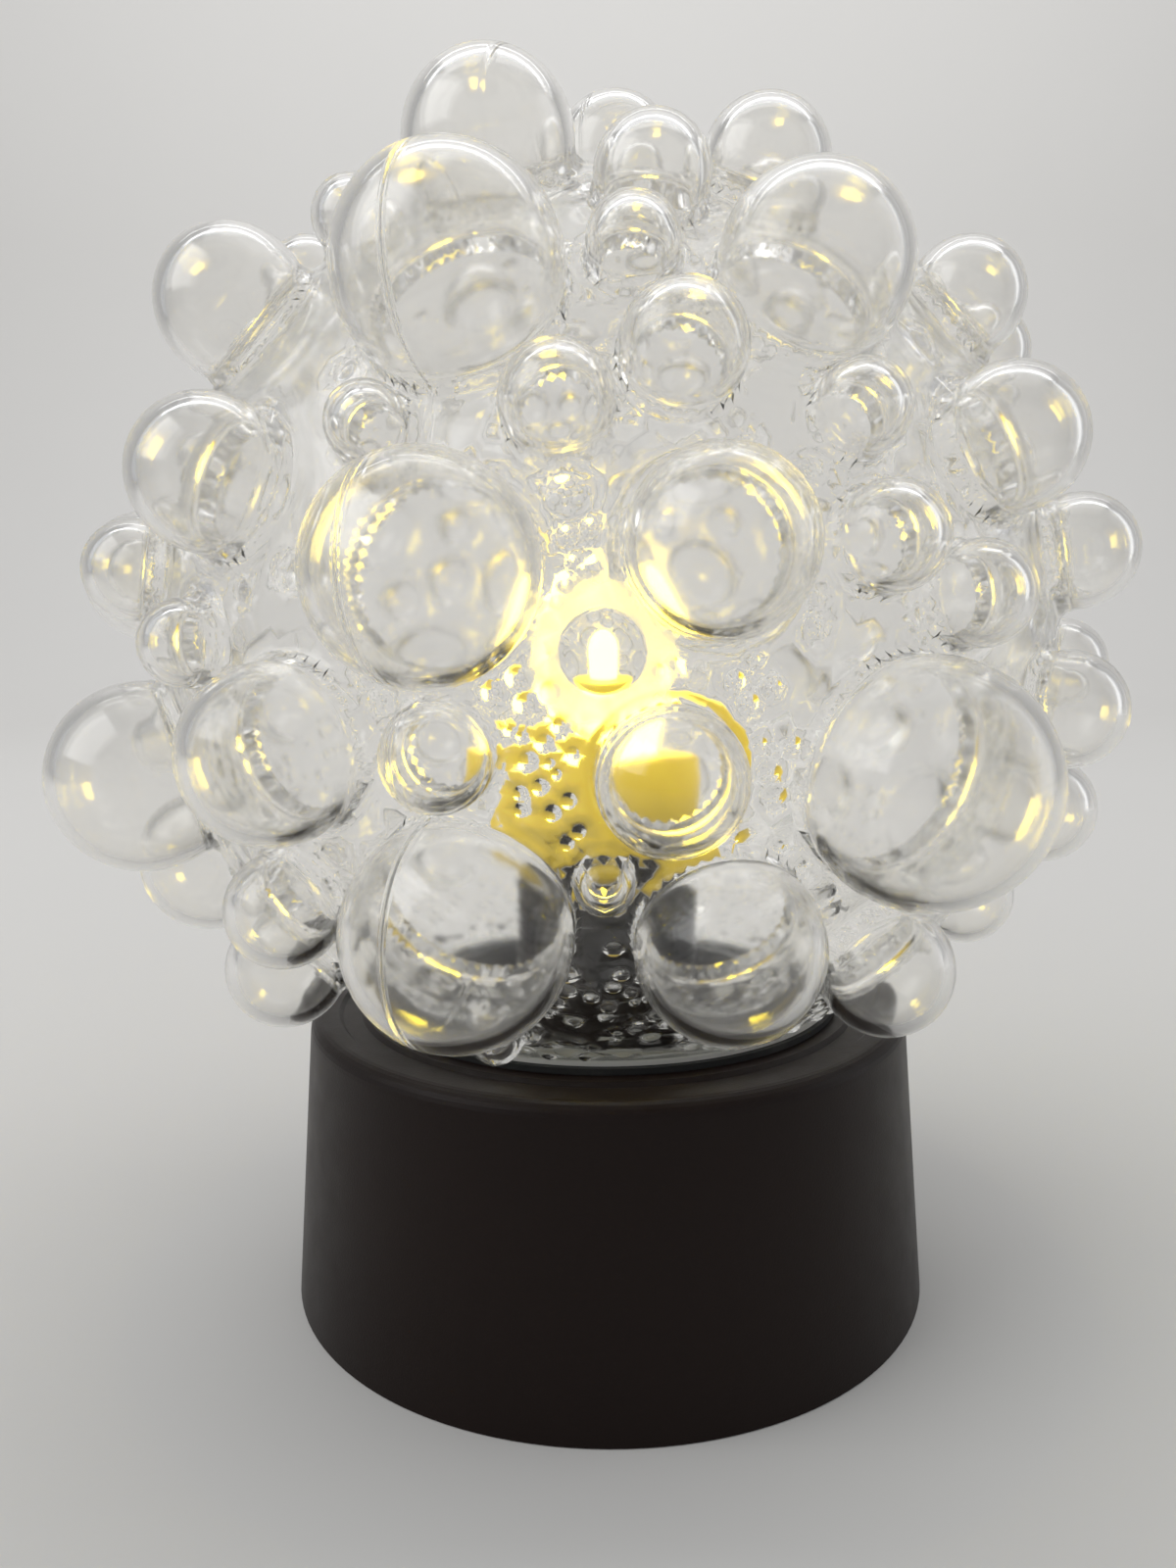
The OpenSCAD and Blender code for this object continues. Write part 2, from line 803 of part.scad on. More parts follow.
// Inside of the glass: body, neck, pits and the hollow bubbles, each open through a throat
module glass_inside(list, pit_list) {
    union() {
        translate([0, 0, core_z])
            sphere(r = inside_r);
        translate([0, 0, neck_low - cut])
            cylinder(r = neck_r - glass_wall, h = glass_seat_z - neck_low + 3 * cut);
        for (b = list)
            if (b[2] >= hollow_r)
                at_bubble(b) {
                    deep = bubble_reach(b[2]) - core_r + glass_wall + cut;
                    pocket_r = b[2] - bubble_wall;
                    sphere(r = pocket_r);
                    translate([0, 0, -deep])
                        cylinder(r = throat * pocket_r, h = deep);
                }
        for (p = pit_list)
            translate([0, 0, core_z])
                rotate([90 - p[1], 0, p[0]])
                    translate([0, 0, inside_r + pit_depth - pit_r])
                        sphere(r = pit_r);
    }
}

// Blown bubble glass, marked by the hairline seams of its four-part mould
module glass_shade() {
    wide = 2 * core_r;
    color([0.9, 0.9, 0.85, 0.4])
        for (i = [0:3]) {
            near = [for (b = bubbles) if (in_quarter(b, i)) b];
            intersection() {
                difference() {
                    glass_outside(near);
                    glass_inside(near, [for (p = pits) if (in_quarter(p, i)) p]);
                }
                rotate([0, 0, seam_turn + 90 * i])
                    translate([seam_gap / 2, -wide - seam_gap / 2, 0])
                        cube([wide, wide, 2 * core_z]);
            }
        }
}

base_housing();
cable_grommet();
terminal_block();
terminal_live();
terminal_neutral();
mounting_bracket();
bracket_screw_left();
bracket_screw_right();
nipple();
nipple_nut();
lampholder_cap();
lampholder_body();
contact_carrier();
holder_shell();
live_post();
neutral_post();
centre_contact();
heat_shield();
ring_nut();
live_wire();
neutral_wire();
bulb_cap();
bulb_insulator();
bulb_tip();
bulb_housing();
led_board();
led_chip();
bulb_envelope();
shade_gasket();
slip_washer();
glass_shade();
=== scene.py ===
"""Looks of a ceiling lamp with a bubble-glass shade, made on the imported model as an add-on."""

import math

import bpy
import numpy as np
from bpy.props import FloatProperty, FloatVectorProperty, IntProperty, PointerProperty
from mathutils import Matrix, Vector
from mathutils.geometry import delaunay_2d_cdt


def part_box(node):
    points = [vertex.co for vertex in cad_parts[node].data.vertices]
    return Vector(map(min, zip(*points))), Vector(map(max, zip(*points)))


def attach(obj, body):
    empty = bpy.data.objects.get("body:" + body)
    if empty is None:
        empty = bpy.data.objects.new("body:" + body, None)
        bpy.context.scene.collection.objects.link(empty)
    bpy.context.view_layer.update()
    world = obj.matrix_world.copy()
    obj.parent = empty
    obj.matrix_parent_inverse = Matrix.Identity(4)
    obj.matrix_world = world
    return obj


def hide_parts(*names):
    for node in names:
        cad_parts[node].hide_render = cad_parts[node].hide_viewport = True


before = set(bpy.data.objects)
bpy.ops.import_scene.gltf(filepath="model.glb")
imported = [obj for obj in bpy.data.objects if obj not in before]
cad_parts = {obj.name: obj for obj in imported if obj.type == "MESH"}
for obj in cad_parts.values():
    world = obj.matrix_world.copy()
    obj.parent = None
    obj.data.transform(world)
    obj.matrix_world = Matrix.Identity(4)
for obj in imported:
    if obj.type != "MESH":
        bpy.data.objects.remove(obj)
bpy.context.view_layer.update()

bl_info = {
    "name": "Bubble-glass ceiling lamp",
    "version": (1, 0, 0),
    "blender": (4, 5, 0),
    "location": "3D View > Sidebar > Lamp",
    "description": "Makes the glass, threads, leads and finishes of a ceiling lamp and a studio for it",
    "category": "Object",
}

MM = 0.001
TURN = 2 * math.pi
GOLDEN = math.pi * (3 - math.sqrt(5))

# Heights that the glass and the threads are made to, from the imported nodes
SEAT_GAP = 0.05 * MM
NECK_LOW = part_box("glass_shade")[0].z
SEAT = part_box("slip_washer")[1].z + SEAT_GAP
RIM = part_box("base_housing")[1].z

# Camera fitted to the two rims of the photographed base: place, angle down, roll and lens
CAMERA_PLACE = [-3.6 * MM, -250.2 * MM, 134.3 * MM]
CAMERA_DOWN = math.radians(7.44)
CAMERA_ROLL = math.radians(-0.55)
CAMERA_LENS = 28.125
CAMERA_SENSOR = 36

# Bubbles on the front: turn to the right, angle up, and radius in millimetres, read off the photograph
FRONT_BUBBLES = [
    (-24, 60, 14), (7, 50.5, 9), (32, 57, 10.5),
    (-60, 38, 13), (-50, 52, 7), (-17, 34, 16.5), (3, 39, 7), (23, 35, 14), (61, 39, 10),
    (-43, 16, 12), (-24, 20, 6), (-5, 21, 8), (7, 26, 9), (25, 21, 7), (45, 19, 11.5),
    (-69, 8, 9), (-48, 0, 7), (-16, 6, 16), (9, 8, 13), (26, 9, 8), (37, 4, 8), (66, 9, 10),
    (-68, -15, 17), (-33, -10, 13.5), (-16, -10, 8), (5, -12, 10.5),
    (30, -13, 18.5), (59, -8, 10), (65, -20, 9.5),
    (-54, -39, 10.5), (-41, -28, 9.5), (-16, -27, 17), (-19, -48, 4.5), (-1, -23, 4.5),
    (12, -29, 14), (37, -36, 11),
]
# Bubbles on the crown and the two sides
SIDE_BUBBLES = [
    (60, 88, 12), (95, 68, 10), (-88, 70, 9), (84, -4, 9), (86, -36, 10), (83, 36, 9),
    (-117, -8, 12), (-116, -33, 9.5), (-120, 40, 11), (122, 36, 11), (126, -14, 8),
]
# The front's middle repeats at the back and, narrower, at both sides: half widths and turn in degrees
BACK_SPAN = 50
SIDE_SPAN = 13
SIDE_TURN = 98
# Shallow pits inside the wall: turn and angle up. The first lies before the bulb
PITS = [(-1, -1), (179, -1), (97, -1), (-99, -1)]
# Turn of the mould's first seam
SEAM_TURN = math.radians(-18.5)
# Pebbles in the gaps of the front, mostly in the hollow before the bulb: turn, angle up and radius
PEBBLES = [
    (-8, -5.5, 2.5), (-11, -4.5, 1.7), (-8.5, -8.5, 1.5), (-6, -11, 3), (-9, -14, 2), (-6, -16, 2),
    (-3, -14, 2), (-3.5, -18, 2.3), (-5, -7.5, 1), (-3, -9.5, 1.2), (-1, -8, 1.2), (1.5, -6, 1.2),
    (-5, 3.5, 1.5), (-3.5, 7, 2.3), (-2, 10, 1.4), (-0.5, 4, 1.2), (5.5, -2, 0.9), (-4, 13, 3.4),
    (-50, 43, 3), (52, 43, 2.6), (62, -37, 3), (-33, 7, 3.5), (2, 14, 1.5), (17, -20, 1.8), (19, 1, 2),
    (-30, 27, 2.2), (13, 18, 2), (-6, -36, 2.2), (-3, -40, 1.6), (1, -36, 2), (3, -41, 1.8), (-9, -43, 1.8),
]

# Lamp leads: their radius, and their routes in millimetres from the terminals through the nipple to the posts
LEAD_RADIUS = 0.9 * MM
LIVE_ROUTE = [
    (-24, 4, 10), (-24, 12, 10), (-21, 19, 9), (-10, 21, 8), (0, 15, 8), (2.5, 6, 8), (1.5, 1, 11),
    (1.5, 0, 16), (1.5, 0, 24), (1.8, 0, 31), (4, 0, 36), (8, 0, 40), (9, 0, 45.1),
]
NEUTRAL_ROUTE = [
    (-14, 4, 10), (-14, 11, 10), (-11, 14, 9), (-6, 11, 8), (-2.5, 5, 8), (-1.5, 1, 11),
    (-1.5, 0, 16), (-1.5, 0, 24), (-1.8, 0, 31), (-4, 0, 36), (-8, 0, 40), (-9, 0, 45.1),
]


def all_bubbles():
    """Every bubble: the front, the sides, the front's middle again at the back and narrowly at each side."""
    back = [(turn + 180, rise, radius) for turn, rise, radius in FRONT_BUBBLES if abs(turn) <= BACK_SPAN]
    near = [bubble for bubble in FRONT_BUBBLES if abs(bubble[0]) <= SIDE_SPAN]
    sides = [(turn + side, rise, radius) for side in (-SIDE_TURN, SIDE_TURN) for turn, rise, radius in near]
    return np.array(FRONT_BUBBLES + SIDE_BUBBLES + back + sides)


def heading(turn, rise):
    """Unit vectors that point turn degrees to the right of the front and rise degrees up."""
    t, e = np.radians(turn), np.radians(rise)
    return np.stack([np.sin(t) * np.cos(e), -np.cos(t) * np.cos(e), np.sin(e)], axis=-1)


def across(axis):
    """Two unit vectors at right angles to each axis and to each other."""
    steep = 0.9
    other = np.where(np.abs(axis[..., 2:]) < steep, [0.0, 0.0, 1.0], [1.0, 0.0, 0.0])
    side = np.cross(axis, other)
    side /= np.linalg.norm(side, axis=-1, keepdims=True)
    return side, np.cross(axis, side)


def smooth_step(x):
    """0 below 0, 1 above 1, and an even S between."""
    x = np.clip(x, 0, 1)
    return x * x * (3 - 2 * x)


def angles_between(way):
    """Angle from each direction to every other, and a whole turn from each to itself."""
    return np.arccos(np.clip(way @ way.T, -1, 1)) + TURN * np.eye(len(way))


def spread(gap, radius):
    """Directions spread evenly over the whole ball along a spiral that turns by the golden angle.

    Their count is the ball's area over that of a hexagon as wide as the gap.
    """
    hexagon = 0.866
    count = int(2 * TURN * (radius / gap) ** 2 / hexagon)
    i = np.arange(count)
    z = 1 - (2 * i + 1) / count
    flat = np.sqrt(1 - z * z)
    return np.stack([flat * np.cos(i * GOLDEN), flat * np.sin(i * GOLDEN), z], axis=-1)


def ripple(way, shift):
    """A slow wave over the ball, between -1 and 1: the mean of three sine waves that run different ways."""
    x, y, z = way.T * 5
    return (np.sin(1.7 * x + shift) * np.sin(1.3 * y + 2 * shift) + np.sin(2.1 * z + x + 3 * shift)
            + np.sin(1.9 * y - 1.1 * z + shift)) / 3


class Foot:
    """Where balls stand on a larger ball and are rounded into it.

    The rounding circle of each ball touches both: its middle is rounding away from each of the two
    surfaces, which gives its height along the ball's axis and its distance from that axis.
    """

    def __init__(self, ball, reach, body, rounding):
        self.ball, self.reach, self.body, self.rounding = ball, reach, body, rounding
        self.up = ((body + rounding) ** 2 + reach ** 2 - (ball + rounding) ** 2) / (2 * reach)
        self.out = np.sqrt((body + rounding) ** 2 - self.up ** 2)
        self.angle = np.arctan2(self.out, self.up)
        self.ball_arc = ball * np.arctan2(self.out, self.up - reach)
        self.start = np.arctan2(reach - self.up, -self.out) % TURN
        self.end = np.arctan2(-self.up, -self.out) % TURN
        self.length = self.ball_arc + rounding * (self.end - self.start)

    def outline(self, i, share):
        """Distance from the axis and height along it, at a share of the way from the crown to the body."""
        s = share * self.length[i]
        turn = s / self.ball[i]
        bend = self.start[i] + (s - self.ball_arc[i]) / self.rounding[i]
        on_ball = s < self.ball_arc[i]
        out = np.where(on_ball, self.ball[i] * np.sin(turn), self.out[i] + self.rounding[i] * np.cos(bend))
        up = np.where(on_ball, self.reach[i] + self.ball[i] * np.cos(turn),
                      self.up[i] + self.rounding[i] * np.sin(bend))
        return out, up


class Pocket:
    """Ball-shaped pockets behind a smaller ball's skin, each open to its middle through a cone.

    A line from the middle touches each pocket. From the crown the outline follows the pocket to that
    point, then the line, and then a rounding that runs into the body.
    """

    def __init__(self, ball, reach, body, rounding):
        self.ball, self.reach, self.body, self.rounding = ball, reach, body, rounding
        self.cone = np.arcsin(ball / reach)
        self.angle = self.cone + np.arcsin(rounding / (body + rounding))
        self.high = np.sqrt(reach ** 2 - ball ** 2)
        self.ball_arc = ball * (math.pi / 2 + self.cone)
        self.line_end = self.ball_arc + self.high - np.sqrt((body + rounding) ** 2 - rounding ** 2)
        self.length = self.line_end + rounding * (math.pi / 2 + self.cone - self.angle)

    def outline(self, i, share):
        """Distance from the axis and height along it, at a share of the way from the crown to the body."""
        s = share * self.length[i]
        turn = s / self.ball[i]
        line = self.high[i] + self.ball_arc[i] - s
        bend = math.pi - self.cone[i] + (s - self.line_end[i]) / self.rounding[i]
        middle = self.body + self.rounding[i]
        part = [s < self.ball_arc[i], s < self.line_end[i]]
        out = np.select(part, [self.ball[i] * np.sin(turn), line * np.sin(self.cone[i])],
                        middle * np.sin(self.angle[i]) + self.rounding[i] * np.cos(bend))
        up = np.select(part, [self.reach[i] + self.ball[i] * np.cos(turn), line * np.cos(self.cone[i])],
                       middle * np.cos(self.angle[i]) + self.rounding[i] * np.sin(bend))
        return out, up


def settled(kind, axis, ball, reach, body, rounding):
    """The feet of balls or pockets, each rounding made smaller in steps until a gap is left between feet."""
    gap, least, shrink, steps = 0.25 * MM, 0.3 * MM, 0.8, 16
    between = angles_between(axis)
    rounding = np.full(len(axis), rounding)
    for _ in range(steps):
        foot = kind(ball, reach, body, rounding)
        meets = (foot.angle[:, None] + foot.angle[None, :] > between - gap / body).any(axis=1)
        rounding = np.where(meets, np.maximum(shrink * rounding, least), rounding)
    return kind(ball, reach, body, rounding)


def bubble_rings(axis, foot, step, least_rings=4, least_points=6):
    """Points in rings round each ball's axis, from the crown down to the body, and their directions.

    A ring at a share of the outline has as many points as steps go into its length, and its direction
    from the body's middle leans from the axis by that share of the foot's angle.
    """
    points, ways = [], []
    side, cross = across(axis)
    for i in range(len(axis)):
        rings = max(least_rings, round(foot.length[i] / step))
        share = np.arange(rings + 1) / rings
        out, up = foot.outline(i, share)
        count = np.maximum(least_points, np.round(TURN * out / step)).astype(int)
        count[0] = 1
        ring = np.repeat(np.arange(rings + 1), count)
        place = np.arange(count.sum()) - np.repeat(np.cumsum(count) - count, count)
        turn = TURN * (place + 0.5 * (ring % 2)) / count[ring]
        spoke = np.cos(turn)[:, None] * side[i] + np.sin(turn)[:, None] * cross[i]
        lean = (foot.angle[i] * share)[ring][:, None]
        points.append(up[ring][:, None] * axis[i] + out[ring][:, None] * spoke)
        ways.append(np.cos(lean) * axis[i] + np.sin(lean) * spoke)
    return np.concatenate(points), np.concatenate(ways)


def room(way, axis, foot, rim):
    """Distance along the body from each direction to the nearest foot or to the rim."""
    free = np.arccos(np.clip(way @ axis.T, -1, 1)) - foot.angle
    return foot.body * np.minimum(free.min(axis=1), np.arccos(np.clip(-way[:, 2], -1, 1)) - rim)


def scattered(gap, body, most, seed):
    """Directions and radii of pebbles strewn over the body, denser at the neck and in the front's hollow.

    An even spread is shaken by a share of its gap. The chance that a direction keeps its pebble is small
    everywhere, grows with the way down to the neck, and rises to 1 in the hollow. Both changes are smooth
    steps, of the height and of the cosine of the angle from the hollow's middle.
    """
    shake, smallest = 0.15, 0.6
    everywhere, at_neck = 0.04, 0.35
    neck_top, neck_fade = 0.2, 0.8
    hollow, hollow_edge, hollow_fade = heading(-3, -5), 0.94, 0.04
    chance = np.random.default_rng(seed)
    way = spread(gap, body)
    way += chance.normal(scale=shake * gap / body, size=way.shape)
    way /= np.linalg.norm(way, axis=1, keepdims=True)
    in_hollow = smooth_step((way @ hollow - hollow_edge) / hollow_fade)
    low = smooth_step((neck_top - way[:, 2]) / neck_fade)
    kept = chance.random(len(way)) < everywhere + at_neck * low + in_hollow
    return way[kept], chance.uniform(smallest, 1, kept.sum()) * most


def pebbles(way, radius, free, foot, rise):
    """Small domes on the body, each inside the free distance round it: points and directions.

    Pebbles that lie on an earlier one are left out, and those that still meet shrink to just under half
    their distance. Each dome has a middle point and three rings. Its height is rise times its radius at the
    middle, and falls with the square of the share of the radius.
    """
    margin, least, least_apart = 0.3 * MM, 0.7 * MM, 1.6 * MM
    most_share, meeting_share, half_share = 0.62, 0.97, 0.48
    counts, shares = [1, 6, 11, 14], [0.0, 0.38, 0.72, 1.0]
    free = free - margin
    way, radius = way[free > least], np.minimum(radius, free)[free > least]
    apart = foot.body * angles_between(way)
    first = np.array([(apart[i, :i] > least_apart).all() for i in range(len(way))])
    way, radius, apart = way[first], radius[first], apart[first][:, first]
    nearest = apart.min(axis=1)
    radius = np.minimum(radius, most_share * nearest)
    meets = radius[:, None] + radius[None, :] > meeting_share * apart
    radius = np.where(meets.any(axis=1), np.minimum(radius, half_share * nearest), radius)
    share = np.repeat(shares, counts)
    turn = TURN * np.concatenate([np.arange(n) / n for n in counts])
    side, cross = across(way)
    spoke = np.cos(turn)[:, None] * side[:, None] + np.sin(turn)[:, None] * cross[:, None]
    around = way[:, None] + spoke * (share * radius[:, None] / foot.body)[..., None]
    around /= np.linalg.norm(around, axis=2, keepdims=True)
    lift = foot.body + (1 - share ** 2) * rise * radius[:, None]
    return (around * lift[..., None]).reshape(-1, 3), around.reshape(-1, 3)


def closed_over(points, ways, rim, body, columns):
    """Triangles over points by their directions, with a rim of columns points first.

    The directions are drawn flat from the pole of the open end, which keeps circles round, and the
    flat points are joined so that no circle through a triangle holds another point.
    """
    same = 1e-7
    turn = TURN * np.arange(columns) / columns
    edge = np.stack([np.sin(rim) * np.cos(turn), np.sin(rim) * np.sin(turn),
                     np.full(columns, -np.cos(rim))], axis=-1)
    points, ways = np.concatenate([edge * body, points]), np.concatenate([edge, ways])
    flat = ways[:, :2] / (1 + ways[:, 2:])
    found = delaunay_2d_cdt(flat.tolist(), [], [], 0, same)
    if len(found[0]) != len(points):
        raise RuntimeError("two points of the glass fall on each other")
    return points, np.array(found[2])


def rows_of_quads(rows, columns, first=0, wrap_rows=False):
    """Four-sided faces between rows of points that close on themselves, facing out going up."""
    row = np.arange(rows if wrap_rows else rows - 1)[:, None]
    col = np.arange(columns)[None, :]
    above, right = (row + 1) % rows, (col + 1) % columns
    corners = [row * columns + col, row * columns + right, above * columns + right, above * columns + col]
    return first + np.stack(np.broadcast_arrays(*corners), axis=-1).reshape(-1, 4)


def new_piece(name, points, faces, body, slot, material, stands_for=()):
    """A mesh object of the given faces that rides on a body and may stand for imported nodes."""
    mesh = bpy.data.meshes.new(name)
    mesh.from_pydata(points.tolist(), [], faces, shade_flat=False)
    mesh.validate()
    mesh.materials.append(material)
    piece = bpy.data.objects.new(name, mesh)
    bpy.context.scene.collection.objects.link(piece)
    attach(piece, body)
    if stands_for:
        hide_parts(*stands_for)
    return piece


def spun(name, out, up, columns, **piece):
    """A closed ring-shaped piece: out and up are each row's distance from the axis and height at a column."""
    turn = TURN * np.arange(columns) / columns
    out, up = np.broadcast_arrays(out, up)
    points = np.stack([out * np.cos(turn), out * np.sin(turn), up], axis=-1)
    faces = rows_of_quads(len(out), columns, wrap_rows=True)
    return new_piece(name, points.reshape(-1, 3), faces.tolist(), **piece)


def thread(up, columns, pitch, low, high, fade):
    """Height of a round screw thread, 0 to 1: a raised cosine of the height less one pitch a turn.

    It fades over a short height at both ends.
    """
    turn = np.arange(columns) / columns
    wave = 0.5 + 0.5 * np.cos(TURN * (up / pitch - turn))
    return wave * smooth_step((up - low) / fade) * smooth_step((high - up) / fade)


def pit_feet(look):
    """Axes and feet of the shallow pits: balls that stand out of the inner skin by the pits' depth.

    A ball that rises by sag over a circle has a radius of (circle squared + sag squared) / (2 sag).
    """
    rounding = 0.3 * MM
    inside = look.body - look.wall
    table = np.array(PITS)
    axis = heading(table[:, 0], table[:, 1])
    sag = inside - math.sqrt(inside ** 2 - look.pit ** 2) + look.pit_depth
    ball = np.full(len(table), (look.pit ** 2 + sag ** 2) / (2 * sag))
    return axis, settled(Foot, axis, ball, inside + look.pit_depth - ball, inside, rounding)


def outer_skin(look, axis, ball, reach, pits, columns):
    """Points and triangles of the outer skin: bubbles rounded into the body, pebbles and plain body.

    The plain body's points keep clear of the bubbles' feet and of the pebbles by shares of their step.
    """
    clear_of_foot, clear_of_pebble, batches = 0.4, 0.5, 20
    rim = math.asin(look.shoulder / look.body)
    foot = settled(Foot, axis, ball, reach, look.body, look.rounding)
    rings = bubble_rings(axis, foot, look.step)
    placed = np.array(PEBBLES)
    strewn = scattered(look.pebble_gap, look.body, look.pebble_radius, look.seed)
    way = np.concatenate([heading(placed[:, 0], placed[:, 1]), strewn[0]])
    free = np.minimum(room(way, axis, foot, rim), room(way, *pits, rim))
    small = pebbles(way, np.append(placed[:, 2] * MM, strewn[1]), free, foot, look.pebble_rise)
    fill = spread(look.fill, look.body)
    fill = fill[room(fill, axis, foot, rim) > clear_of_foot * look.fill]
    near = np.concatenate([(part @ small[1].T).max(axis=1) for part in np.array_split(fill, batches)])
    fill = fill[np.arccos(np.clip(near, -1, 1)) * look.body > clear_of_pebble * look.fill]
    points = np.concatenate([rings[0], small[0], fill * look.body])
    ways = np.concatenate([rings[1], small[1], fill])
    return closed_over(points, ways, rim, look.body, columns)


def inner_skin(look, axis, ball, reach, pits, columns):
    """Points and triangles of the inner skin: pockets behind the bubbles, pits and plain body.

    A slow ripple moves the skin in and out, and dies away towards the neck.
    """
    pocket_step, pit_step, clear_of_foot = 1.25, 0.4, 0.4
    wave, still_rate = 0.2 * MM, 4
    inside, bore = look.body - look.wall, look.neck - look.wall
    rim = math.asin(bore / inside)
    pocket = settled(Pocket, axis, ball - look.bubble_wall, reach, inside, look.lip)
    rings = bubble_rings(axis, pocket, pocket_step * look.step)
    dents = bubble_rings(*pits, pit_step * look.step)
    fill = spread(look.fill, inside)
    free = np.minimum(room(fill, axis, pocket, rim), room(fill, *pits, rim))
    fill = fill[free > clear_of_foot * look.fill]
    points = np.concatenate([rings[0], dents[0], fill * inside])
    ways = np.concatenate([rings[1], dents[1], fill])
    points, faces = closed_over(points, ways, rim, inside, columns)
    way = points / np.linalg.norm(points, axis=1, keepdims=True)
    still = smooth_step((math.pi - rim - np.arccos(way[:, 2])) * still_rate)
    points *= (1 + wave / inside * ripple(way, 1.0) * still)[:, None]
    return points, faces


def neck_rows(look, columns):
    """Rows of points down the outside of the screw neck, round its end and up the bore.

    A row's distance from the axis is the thread's root plus the thread, or falls from root to bore in a
    round end.
    """
    depth = 1.0 * MM
    bore, root = look.neck - look.wall, look.neck - depth
    flare, round_end = np.array([2.0, 1.3, 0.3]) * MM, np.array([0.92, 0.75, 0.5, 0.25, 0.08])
    wall = np.linspace(SEAT - 1.0 * MM, NECK_LOW + 1.5 * MM, 20)
    bore_wall = np.linspace(NECK_LOW + 2 * MM, SEAT - 3 * MM, 4)
    up = np.concatenate([
        SEAT - np.array([0, 0.1, 0.5]) * MM,
        wall,
        NECK_LOW + np.array([0.7, 0.15, 0, 0.15, 0.7]) * MM,
        bore_wall,
    ])[:, None]
    width = np.concatenate([
        root + flare,
        np.full(len(wall), root),
        bore + round_end * (root - bore),
        np.full(len(bore_wall), bore),
    ])[:, None]
    outside = (np.arange(len(up)) < len(flare) + len(wall))[:, None]
    ridge = thread(up, columns, look.pitch, NECK_LOW + 1 * MM, SEAT - 1 * MM, 1.5 * MM)
    out = width + depth * ridge * outside
    turn = TURN * np.arange(columns) / columns
    rows = np.broadcast_arrays(out * np.cos(turn), out * np.sin(turn), up)
    return np.stack(rows, axis=-1).reshape(-1, 3)


def make_glass(look, material):
    """The shade: an outer and an inner skin of rounded balls on a ball, joined by a spun screw neck.

    A bubble's middle stands out of the body by a share of its radius, up to a limit.
    """
    stand_out, most_out, columns = 0.4, 6 * MM, 180
    table = all_bubbles()
    axis, ball = heading(table[:, 0], table[:, 1]), table[:, 2] * MM
    reach = look.body + np.minimum(stand_out * ball, most_out)
    pits = pit_feet(look)
    outer, outer_faces = outer_skin(look, axis, ball, reach, pits, columns)
    inner, inner_faces = inner_skin(look, axis, ball, reach, pits, columns)
    neck = neck_rows(look, columns)
    middle = SEAT + math.sqrt(look.body ** 2 - look.shoulder ** 2)
    points = np.concatenate([outer + [0, 0, middle], neck, inner + [0, 0, middle]])
    inner_start = len(outer) + len(neck)
    rim, bore_rim = np.arange(columns)[None], inner_start + np.arange(columns)[None]
    rows = np.concatenate([rim, len(outer) + np.arange(len(neck)).reshape(-1, columns), bore_rim])
    strips = rows.reshape(-1)[rows_of_quads(len(rows), columns)[:, ::-1]]
    faces = outer_faces.tolist() + strips.tolist() + (inner_faces[:, ::-1] + inner_start).tolist()
    return new_piece("bubble_glass", points, faces, "shade", "clear_glass", material, ["glass_shade"])


def make_lead(name, route, material, slot, node):
    """A round lead: a circle carried without twist along a smooth curve through the route's points."""
    steps, columns = 8, 14
    knots = np.array(route) * MM
    knots = np.concatenate([knots[:1], knots, knots[-1:]])
    t = np.linspace(0, 1, steps, endpoint=False)[:, None]
    a, b, c, d = (knots[i:len(knots) - 3 + i][:, None] for i in range(4))
    square, cube = 2 * a - 5 * b + 4 * c - d, 3 * b - a - 3 * c + d
    path = 0.5 * (2 * b + (c - a) * t + square * t ** 2 + cube * t ** 3)
    path = np.concatenate([path.reshape(-1, 3), knots[-1:]])
    along = np.gradient(path, axis=0)
    along /= np.linalg.norm(along, axis=1, keepdims=True)
    side = np.zeros_like(path)
    last = np.array([1.0, 0.0, 0.0])
    for i, way in enumerate(along):
        last = last - way * (last @ way)
        side[i] = last = last / np.linalg.norm(last)
    cross = np.cross(along, side)
    turn = TURN * np.arange(columns) / columns
    ring = np.cos(turn)[:, None] * side[:, None] + np.sin(turn)[:, None] * cross[:, None]
    points = (path[:, None] + LEAD_RADIUS * ring).reshape(-1, 3)
    faces = rows_of_quads(len(path), columns).tolist()
    faces += [list(range(columns))[::-1], list(range(len(points) - columns, len(points)))]
    return new_piece(name, points, faces, "base", slot, material, [node])


def make_screw(name, x, y, low, high, radius, material):
    """A small slotted screw: a round shank with a rounded edge and a flat-bottomed groove across its end."""
    half_groove, groove_edge, groove_depth = 0.34 * MM, 0.1 * MM, 0.7 * MM
    edge, columns = [0.25 * MM, 0.06 * MM], 48
    turn = TURN * np.arange(columns) / columns
    share = np.array([0, 1, 1, 0.93, 0.85, 0.55, 0.28, 0.0])[:, None]
    up = np.array([low, low, high - edge[0], high - edge[1], high, high, high, high])[:, None]
    px, py = share * radius * np.cos(turn), share * radius * np.sin(turn)
    on_end = up > high - edge[0]
    groove = smooth_step((half_groove - np.abs(py)) / groove_edge) * on_end
    points = np.stack([x + px, y + py, up - groove_depth * groove], axis=-1).reshape(-1, 3)
    faces = rows_of_quads(len(share), columns).tolist()
    return new_piece(name, points, faces, "base", "zinc_steel", material)


